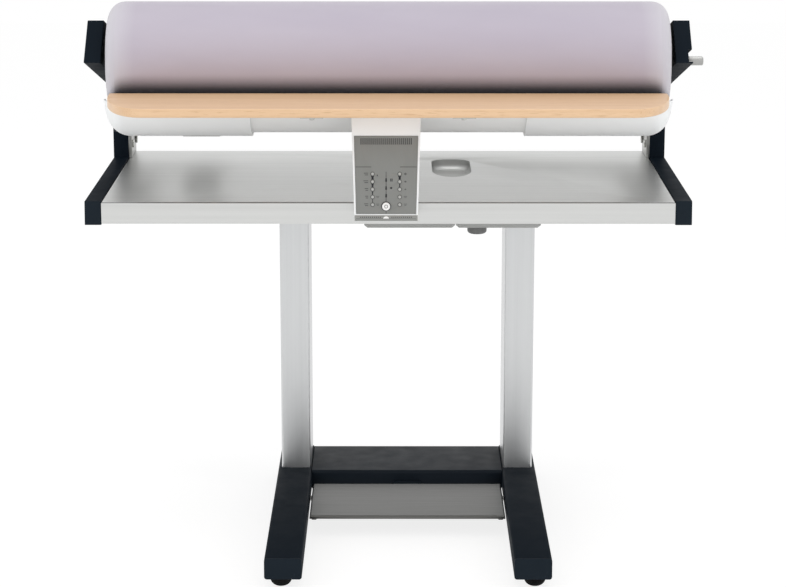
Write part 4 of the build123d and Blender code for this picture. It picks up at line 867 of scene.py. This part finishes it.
# ------------------------------ white shoe covers
# Moulded white covers round off both ends of the shoe. Each is open at the top, has a rib
# that rests on the casing, and is slotted at the back for the arm.
COVER_WHITE = ((0.885, 0.90, 0.905), (0.865, 0.88, 0.885))
COVER_WALL = 0.003
COVER_CORNER = 0.035
COVER_CORNER_STEPS = 12
COVER_RIB = 0.003
COVER_EDGE = 0.0007
COVER_EDGE_TURN = 50.0
COVER_SHARP_TURN = 40.0
SEAT_CLEARANCE = 0.0003
SLOT_CLEARANCE = 0.002
SLOT_FRONT = 0.012
SLOT_REACH = 0.2
ARM_INSET = 0.017
ARM_THICKNESS = 0.008

cover_white = mottled("cover_white", COVER_WHITE, roughness=0.42, patches=5.0, pits=1500.0)
arms_low, arms_high = corners("shoe_arms")
arm_offset = (arms_high.x - arms_low.x) / 2 - ARM_INSET


def slot_cutter(side):
    """A block that cuts the slot for one arm out of its cover."""
    shape = bmesh.new()
    bmesh.ops.create_cube(shape, size=1.0)
    size = (ARM_THICKNESS + 2 * SLOT_CLEARANCE, SLOT_REACH, 2 * SLOT_REACH)
    place = (roller_x + side * arm_offset, shoe_y + SLOT_FRONT + SLOT_REACH / 2, shoe_top)
    bmesh.ops.scale(shape, vec=size, verts=shape.verts)
    bmesh.ops.translate(shape, vec=place, verts=shape.verts)
    mesh = bpy.data.meshes.new("slot_cutter")
    shape.to_mesh(mesh)
    shape.free()
    cutter = bpy.data.objects.new("slot_cutter", mesh)
    bpy.context.collection.objects.link(cutter)
    return cutter


def shoe_cover(node, side):
    """One cover, drawn towards +X and mirrored for the left."""
    low, high = corners(node)
    start = min(abs(low.x - roller_x), abs(high.x - roller_x))
    end = max(abs(low.x - roller_x), abs(high.x - roller_x))
    outer = shoe_z - low.z
    seat = casing_radius + SEAT_CLEARANCE
    bend_x = end - COVER_CORNER
    bend_radius = outer - COVER_CORNER
    inner_corner = COVER_CORNER - COVER_WALL
    section = [(start, seat), (start, outer)]
    section += bend(bend_x, bend_radius, COVER_CORNER, 90, 0, COVER_CORNER_STEPS)
    section += bend(bend_x, bend_radius, inner_corner, 0, 90, COVER_CORNER_STEPS)
    section += [(start + COVER_RIB, outer - COVER_WALL), (start + COVER_RIB, seat)]
    section = [(side * x, radius) for x, radius in section]
    draft = trough(node + "_draft", section, cover_white)
    cutter = slot_cutter(side)
    cut = draft.modifiers.new("slot", "BOOLEAN")
    cut.object = cutter
    cut.solver = "EXACT"
    rounded(draft, COVER_EDGE, 2, COVER_EDGE_TURN)
    piece = plain_mesh(node + "_finished", draft)
    bpy.data.objects.remove(cutter)
    smooth_sides(piece.data, COVER_SHARP_TURN)
    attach(piece, "press_shoe")
    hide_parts(node)


shoe_cover("left_shoe_cover", -1)
shoe_cover("right_shoe_cover", 1)

# ------------------------------ feed board
# A board of solid pale beech, lacquered, its grain running the length of the roller. Two
# steel brackets under it are held by dome-headed bolts.
BEECH = (0.690, 0.450, 0.262)
BEECH_DARK = (0.58, 0.355, 0.190)
BEECH_LIGHT = (0.76, 0.520, 0.320)
GRAIN_RUN = (2.2, 60.0, 120.0)
GRAIN_DEPTH = 0.00004
FLECK_RUN = (45.0, 900.0, 900.0)
FLECKS_FROM = 0.58
FLECKS_FULL = 0.75

beech, tree, shader = begin_finish("lacquered_beech", BEECH, roughness=0.4)
shader.inputs["Coat Weight"].default_value = 0.15
shader.inputs["Coat Roughness"].default_value = 0.25
long_grain = spread(tree, grain(tree, GRAIN_RUN, 1.0, 4.0))
flecks = spread(tree, grain(tree, FLECK_RUN, 1.0, 2.0), 0.0, 1.0, FLECKS_FROM, FLECKS_FULL)
board_tone = mixed(tree, long_grain, BEECH, BEECH_LIGHT)
board_tone = mixed(tree, flecks, board_tone, BEECH_DARK)
tree.links.new(board_tone, shader.inputs["Base Color"])
relief(tree, shader, long_grain, GRAIN_DEPTH)
eased("feed_board", beech)
eased("board_brackets", plain_steel, edge=0.0005)
eased("board_bolts", zinc, edge=0.0002)

# ------------------------------ console
# A white moulded housing hung from the shoe, with a grey fascia that has vents at the top,
# two columns of lamps, a printed time scale and one push button.
HOUSING_WHITE = ((0.88, 0.895, 0.905), (0.86, 0.875, 0.885))
PANEL_GREY = ((0.212, 0.217, 0.207), (0.224, 0.229, 0.218))
TRIM_GREY = ((0.270, 0.275, 0.262), (0.285, 0.290, 0.276))
LENS_PALE = ((0.46, 0.465, 0.45), (0.40, 0.405, 0.39))
BUTTON_WHITE = ((0.88, 0.88, 0.87), (0.84, 0.84, 0.83))

housing_white = mottled(
    "housing_white", HOUSING_WHITE, roughness=0.45, patches=12.0, pits=1500.0
)
panel_grey = mottled("panel_grey", PANEL_GREY, roughness=0.5, patches=20.0, pits=1200.0)
trim_grey = mottled("trim_grey", TRIM_GREY, roughness=0.45, patches=20.0, pits=1200.0)
lens = mottled(
    "lamp_lens", LENS_PALE, roughness=0.22, patches=400.0, pits=2500.0, depth=0.00002
)
button_white = mottled(
    "button_white", BUTTON_WHITE, roughness=0.35, patches=90.0, pits=1500.0, depth=0.00002
)
eased("console_housing", housing_white, edge=0.0011, steps=3)
eased("console_fascia", panel_grey, edge=0.0002)
eased("console_trim", trim_grey, edge=0.0003)
eased("indicator_lamps", lens, edge=0.0003)
eased("start_button", button_white, edge=0.0005, steps=3)

# ------------------------------ circuit board
# A green glass-epoxy board with copper tracks under its lacquer, held on four standoffs
# behind the fascia, with chips, a row of terminals and the button's push switch.
CIRCUIT_GREEN = (0.010, 0.105, 0.045)
CIRCUIT_GREEN_LIGHT = (0.012, 0.120, 0.050)
TRACK_GREEN = (0.030, 0.200, 0.085)
TRACK_SCALE = 160.0
TRACK_WIDTH = 0.012
TRACK_DEPTH = 0.00005

circuit_green, tree, shader = begin_finish("circuit_green", CIRCUIT_GREEN, roughness=0.3)
track_place = tree.nodes.new("ShaderNodeTexCoord")
track_turn = tree.nodes.new("ShaderNodeMapping")
track_turn.inputs["Rotation"].default_value = (radians(90.0), 0.0, 0.0)
tracks = tree.nodes.new("ShaderNodeTexBrick")
tracks.inputs["Scale"].default_value = TRACK_SCALE
tracks.inputs["Mortar Size"].default_value = TRACK_WIDTH
feed(tree, CIRCUIT_GREEN, tracks.inputs["Color1"])
feed(tree, CIRCUIT_GREEN_LIGHT, tracks.inputs["Color2"])
feed(tree, TRACK_GREEN, tracks.inputs["Mortar"])
tree.links.new(track_place.outputs["Object"], track_turn.inputs["Vector"])
tree.links.new(track_turn.outputs["Vector"], tracks.inputs["Vector"])
tree.links.new(tracks.outputs["Color"], shader.inputs["Base Color"])
relief(tree, shader, tracks.outputs["Fac"], TRACK_DEPTH)
dress(circuit_green, "circuit_board")

# ------------------------------ printed scales
# Dark and grey inks screen printed on the fascia: rules across it, bars that narrow from lamp
# to lamp, a centre scale down to the button, and plain marks beside the lamps.
INK_BLACK = (0.006, 0.007, 0.010)
INK_GREY = (0.055, 0.057, 0.055)
INK_PALE = (0.085, 0.088, 0.084)
THIN_INK = 1.15
INK_THICKNESS = 0.00007
INK_SUNK = -0.00002
PANEL_TILT = radians(3.0)
PANEL_HALF_HEIGHT = 0.0578
MM = 0.001
LAMP_TOP = 1.6
LAMP_PITCH = 11.4
LAMP_ACROSS = 20.0
LAMP_ROWS = 5
LAMP_GAP = 2.7
LEFT_BARS = (5.2, 4.4, 2.6, 1.4)
RIGHT_BARS = (5.2, 2.2)
BAR_WAIST = 0.62
BAR_FOOT = 0.8
HALF_WAIST_HEIGHT = 1.0
SCALE_BLOCKS = (-7.4, -19.2, -30.6)
BLOCK = ((-1.3, -2.6), (1.3, -2.6), (1.0, 2.6), (-1.0, 2.6))
HALF_RULE = 0.45
RULE_LEVEL = 12.0
ROW_LINES = (6.4, 7.0, 5.0, 4.4, 6.0)
ROW_LINES_END = -26.4
UPPER_LINE = (0.7, 1.7)
LOWER_LINE = (-1.9, -0.9)
LEFT_MARKS = -12.4
RIGHT_MARKS = 28.4
MARK_SIZES = (2.5, 2.1, 1.7)

panel_low, panel_high = corners("console_fascia")
panel_frame = Matrix.Translation(
    (
        (panel_low.x + panel_high.x) / 2,
        panel_low.y + PANEL_HALF_HEIGHT * sin(PANEL_TILT),
        panel_high.z - PANEL_HALF_HEIGHT * cos(PANEL_TILT),
    )
) @ Matrix.Rotation(pi / 2 - PANEL_TILT, 4, "X")


def ink(name, tone):
    """A matt printing ink that lies a little unevenly."""
    tones = (tone, tuple(THIN_INK * part for part in tone))
    return mottled(name, tones, roughness=0.55, patches=500.0, pits=2200.0, depth=0.00002)


def raised(name, outlines, material, top=INK_THICKNESS, base=INK_SUNK):
    """Flat outlines in millimetres on the fascia, each made a thin closed plate."""
    points = []
    faces = []
    for outline in outlines:
        start = len(points)
        count = len(outline)
        for lift in (base, top):
            points += [panel_frame @ Vector((u * MM, v * MM, lift)) for u, v in outline]
        faces.append(tuple(start + index for index in range(count))[::-1])
        faces.append(tuple(start + count + index for index in range(count)))
        for index in range(count):
            here = start + index
            there = start + (index + 1) % count
            faces.append((here, there, there + count, here + count))
    piece = mesh_object(name, points, faces, material)
    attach(piece, carrier["console_fascia"])


def bar(left, bottom, right, top):
    """The outline of an upright rectangle."""
    return [(left, bottom), (right, bottom), (right, top), (left, top)]


def waisted(middle, top, bottom, top_width, waist, bottom_width):
    """The outline of a bar that is narrower at its middle."""
    half_way = (top + bottom) / 2
    right = [
        (bottom_width, bottom),
        (waist, half_way - HALF_WAIST_HEIGHT),
        (waist, half_way + HALF_WAIST_HEIGHT),
        (top_width, top),
    ]
    left = [(-reach, v) for reach, v in reversed(right)]
    return [(middle + reach / 2, v) for reach, v in left + right]


def diamond(u, v, half_width, half_height):
    """The outline of a diamond standing on its corner."""
    return [(u - half_width, v), (u, v - half_height), (u + half_width, v), (u, v + half_height)]


ink_black = ink("ink_black", INK_BLACK)
ink_grey = ink("ink_grey", INK_GREY)
ink_pale = ink("ink_pale", INK_PALE)
lamp_levels = [LAMP_TOP - LAMP_PITCH * row for row in range(LAMP_ROWS)]

dark_shapes = []
for column, widths in ((-LAMP_ACROSS, LEFT_BARS), (LAMP_ACROSS, RIGHT_BARS)):
    for row, width in enumerate(widths):
        top = lamp_levels[row] - LAMP_GAP
        bottom = lamp_levels[row + 1] + LAMP_GAP
        foot = BAR_FOOT * widths[min(row + 1, len(widths) - 1)]
        dark_shapes.append(waisted(column, top, bottom, width, BAR_WAIST * width, foot))
for level in SCALE_BLOCKS:
    dark_shapes.append([(u, level + v) for u, v in BLOCK])
dark_shapes.append(bar(6.2, -9.6, 7.4, -5.2))
dark_shapes.append(bar(8.2, -9.6, 9.4, -5.2))
dark_shapes.append(diamond(7.4, -19.2, 2.2, 1.9))
dark_shapes.append(bar(-13.6, -1.6, -12.4, 0.6))
raised("printed_bars", dark_shapes, ink_black)

grey_shapes = [
    bar(-45.0, RULE_LEVEL - HALF_RULE, -22.0, RULE_LEVEL + HALF_RULE),
    bar(20.5, RULE_LEVEL - HALF_RULE, 45.0, RULE_LEVEL + HALF_RULE),
    bar(-HALF_RULE, -40.2, HALF_RULE, 4.8),
    bar(-HALF_RULE, -57.4, HALF_RULE, -53.4),
]
for level, reach in zip(lamp_levels, ROW_LINES):
    for length, (low, high) in ((reach, UPPER_LINE), (0.8 * reach, LOWER_LINE)):
        left = ROW_LINES_END - length
        grey_shapes.append(bar(left, level + low, ROW_LINES_END, level + high))
raised("printed_rules", grey_shapes, ink_grey)

pale_shapes = []
for level, size in zip(lamp_levels, MARK_SIZES):
    pale_shapes.append(diamond(RIGHT_MARKS, level, size, 0.8 * size))
for level in lamp_levels[len(MARK_SIZES):]:
    for column in (LEFT_MARKS, RIGHT_MARKS):
        pale_shapes.append(bar(column - 2.4, level + 0.5, column + 2.4, level + 1.3))
        pale_shapes.append(bar(column - 1.6, level - 1.3, column + 1.6, level - 0.5))
raised("printed_marks", pale_shapes, ink_pale)

# ------------------------------ lamp rings and bezel
# A fine moulded ring stands round each lamp, in two columns of five, and a black bezel round
# the button. A smaller ring on the button's own face moves in with it.
RING_RADIUS = 0.0029
RING_WIRE = 0.0004
RING_STEPS = 28
WIRE_STEPS = 8
BUTTON_LEVEL = -46.5
BEZEL_RADIUS = 0.0065
BEZEL_WIRE = 0.0006
PRESS_RING_RADIUS = 0.0023
PRESS_RING_WIRE = 0.00035


def ring_maker(name, material):
    """Rings of round wire in two columns, drawn flat about the origin."""
    tree, start, finish = node_maker(
        name,
        (
            ("Column Gap", "NodeSocketFloat", 2 * LAMP_ACROSS * MM),
            ("Columns", "NodeSocketInt", 2),
            ("Rows", "NodeSocketInt", LAMP_ROWS),
            ("Row Pitch", "NodeSocketFloat", LAMP_PITCH * MM),
            ("Ring Radius", "NodeSocketFloat", RING_RADIUS),
            ("Wire Radius", "NodeSocketFloat", RING_WIRE),
        ),
    )
    pitches = worked(tree, "SUBTRACT", start.outputs["Rows"], 1.0)
    height = worked(tree, "MULTIPLY", pitches, start.outputs["Row Pitch"])
    grid = tree.nodes.new("GeometryNodeMeshGrid")
    circle = tree.nodes.new("GeometryNodeCurvePrimitiveCircle")
    circle.inputs["Resolution"].default_value = RING_STEPS
    wire = tree.nodes.new("GeometryNodeCurvePrimitiveCircle")
    wire.inputs["Resolution"].default_value = WIRE_STEPS
    ring = tree.nodes.new("GeometryNodeCurveToMesh")
    tree.links.new(start.outputs["Column Gap"], grid.inputs["Size X"])
    tree.links.new(height, grid.inputs["Size Y"])
    tree.links.new(start.outputs["Columns"], grid.inputs["Vertices X"])
    tree.links.new(start.outputs["Rows"], grid.inputs["Vertices Y"])
    tree.links.new(start.outputs["Ring Radius"], circle.inputs["Radius"])
    tree.links.new(start.outputs["Wire Radius"], wire.inputs["Radius"])
    tree.links.new(circle.outputs["Curve"], ring.inputs["Curve"])
    tree.links.new(wire.outputs["Curve"], ring.inputs["Profile Curve"])
    spread_out(tree, grid.outputs["Mesh"], ring.outputs["Mesh"], None, material, finish)
    return tree


def on_fascia(piece, u, v, lift=0.0, under="console_fascia"):
    """Moves a piece drawn flat about the origin to its place on the fascia, in millimetres."""
    piece.data.transform(panel_frame @ Matrix.Translation((u * MM, v * MM, lift)))
    closed(piece)
    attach(piece, carrier[under])


def one_ring(name, material, radius, wire):
    """A single ring about the origin."""
    sizes = {"Columns": 1, "Rows": 1, "Ring Radius": radius, "Wire Radius": wire}
    return grown(name, ring_maker(name + "_maker", material), sizes)


lamp_rings = grown("lamp_rings", ring_maker("lamp_ring_maker", ink_pale))
on_fascia(lamp_rings, 0.0, lamp_levels[LAMP_ROWS // 2])
bezel = one_ring("button_bezel", ink_black, BEZEL_RADIUS, BEZEL_WIRE)
on_fascia(bezel, 0.0, BUTTON_LEVEL)
button_low, _ = corners("start_button")
button_face = (panel_frame @ Vector((0.0, BUTTON_LEVEL * MM, 0.0))).y - button_low.y
press_ring = one_ring("press_ring", ink_grey, PRESS_RING_RADIUS, PRESS_RING_WIRE)
on_fascia(press_ring, 0.0, BUTTON_LEVEL, button_face - 2 * PRESS_RING_WIRE, "start_button")

# ------------------------------ vent shade sheet
# A dark sheet lies in the fascia behind its row of upright vents, painted shade that stands in
# for the dark inside behind the slots. It is one thin sheet pressed into the slots.
VENT_PAINTED_SHADE = ((0.020, 0.021, 0.024), (0.028, 0.029, 0.032))
VENT_SHADE_SHEET = (-38.0, 44.6, 38.0, 54.8)
VENT_SHADE_SHEET_FRONT = -0.0001
VENT_SHADE_SHEET_BACK = -0.0021

vent_painted_shade = mottled(
    "vent_painted_shade", VENT_PAINTED_SHADE, roughness=0.7, patches=300.0, pits=1500.0, depth=0.00004
)
raised("vent_shade_sheet", [bar(*VENT_SHADE_SHEET)], vent_painted_shade, VENT_SHADE_SHEET_FRONT, VENT_SHADE_SHEET_BACK)

# ------------------------------ foot strip
# The grey strip under the fascia has a row of fine punched holes for the buzzer, a dark seam
# below them, and a half-round white tab that shows where the thumb goes.
HOLE_RADIUS = 0.00075
HOLE_DEPTH = 0.0004
HOLE_PITCH = 0.0029
HOLE_COUNT = 11
HOLE_SIDES = 8
HOLES_UP = 1.6
SEAM_RAISED = 0.00004
TAB_RAISED = 0.0006
STRIP_SUNK = 0.0002
TAB_RADIUS = 4.2
TAB_FLATNESS = 0.8
TAB_DROP = 0.4
TAB_STEPS = 16
SEAM = (-44.0, -0.9, 44.0, -0.5)
ROW_STARTS = {"left": -37.6, "right": 8.6}

trim_low, trim_high = corners("console_trim")
strip_middle = (trim_low.z + trim_high.z) / 2
strip_level = (strip_middle - panel_frame.translation.z) / cos(PANEL_TILT) / MM
strip_face = (panel_frame @ Vector((0.0, strip_level * MM, 0.0))).y - trim_low.y

row_maker, start, finish = node_maker(
    "punched_row_maker",
    (
        ("Holes", "NodeSocketInt", HOLE_COUNT),
        ("Pitch", "NodeSocketFloat", HOLE_PITCH),
        ("Hole Radius", "NodeSocketFloat", HOLE_RADIUS),
        ("Hole Depth", "NodeSocketFloat", HOLE_DEPTH),
    ),
)
step_along = row_maker.nodes.new("ShaderNodeCombineXYZ")
row_line = row_maker.nodes.new("GeometryNodeMeshLine")
hole = row_maker.nodes.new("GeometryNodeMeshCylinder")
hole.inputs["Vertices"].default_value = HOLE_SIDES
row_maker.links.new(start.outputs["Pitch"], step_along.inputs["X"])
row_maker.links.new(start.outputs["Holes"], row_line.inputs["Count"])
row_maker.links.new(step_along.outputs["Vector"], row_line.inputs["Offset"])
row_maker.links.new(start.outputs["Hole Radius"], hole.inputs["Radius"])
row_maker.links.new(start.outputs["Hole Depth"], hole.inputs["Depth"])
spread_out(row_maker, row_line.outputs["Mesh"], hole.outputs["Mesh"], None, ink_black, finish)
for side, first in ROW_STARTS.items():
    holes = grown("punched_row_" + side, row_maker)
    on_fascia(holes, first, strip_level + HOLES_UP, strip_face - HOLE_DEPTH / 4)
seam = [(u, strip_level + v) for u, v in bar(*SEAM)]
raised("strip_seam", [seam], ink_grey, strip_face + SEAM_RAISED, strip_face - STRIP_SUNK)
tab = []
for step in range(TAB_STEPS + 1):
    turn = pi * step / TAB_STEPS
    rise = TAB_FLATNESS * TAB_RADIUS * sin(turn) - TAB_DROP
    tab.append((TAB_RADIUS * cos(turn), strip_level + rise))
raised("thumb_tab", [tab], button_white, strip_face + TAB_RAISED, strip_face - STRIP_SUNK)
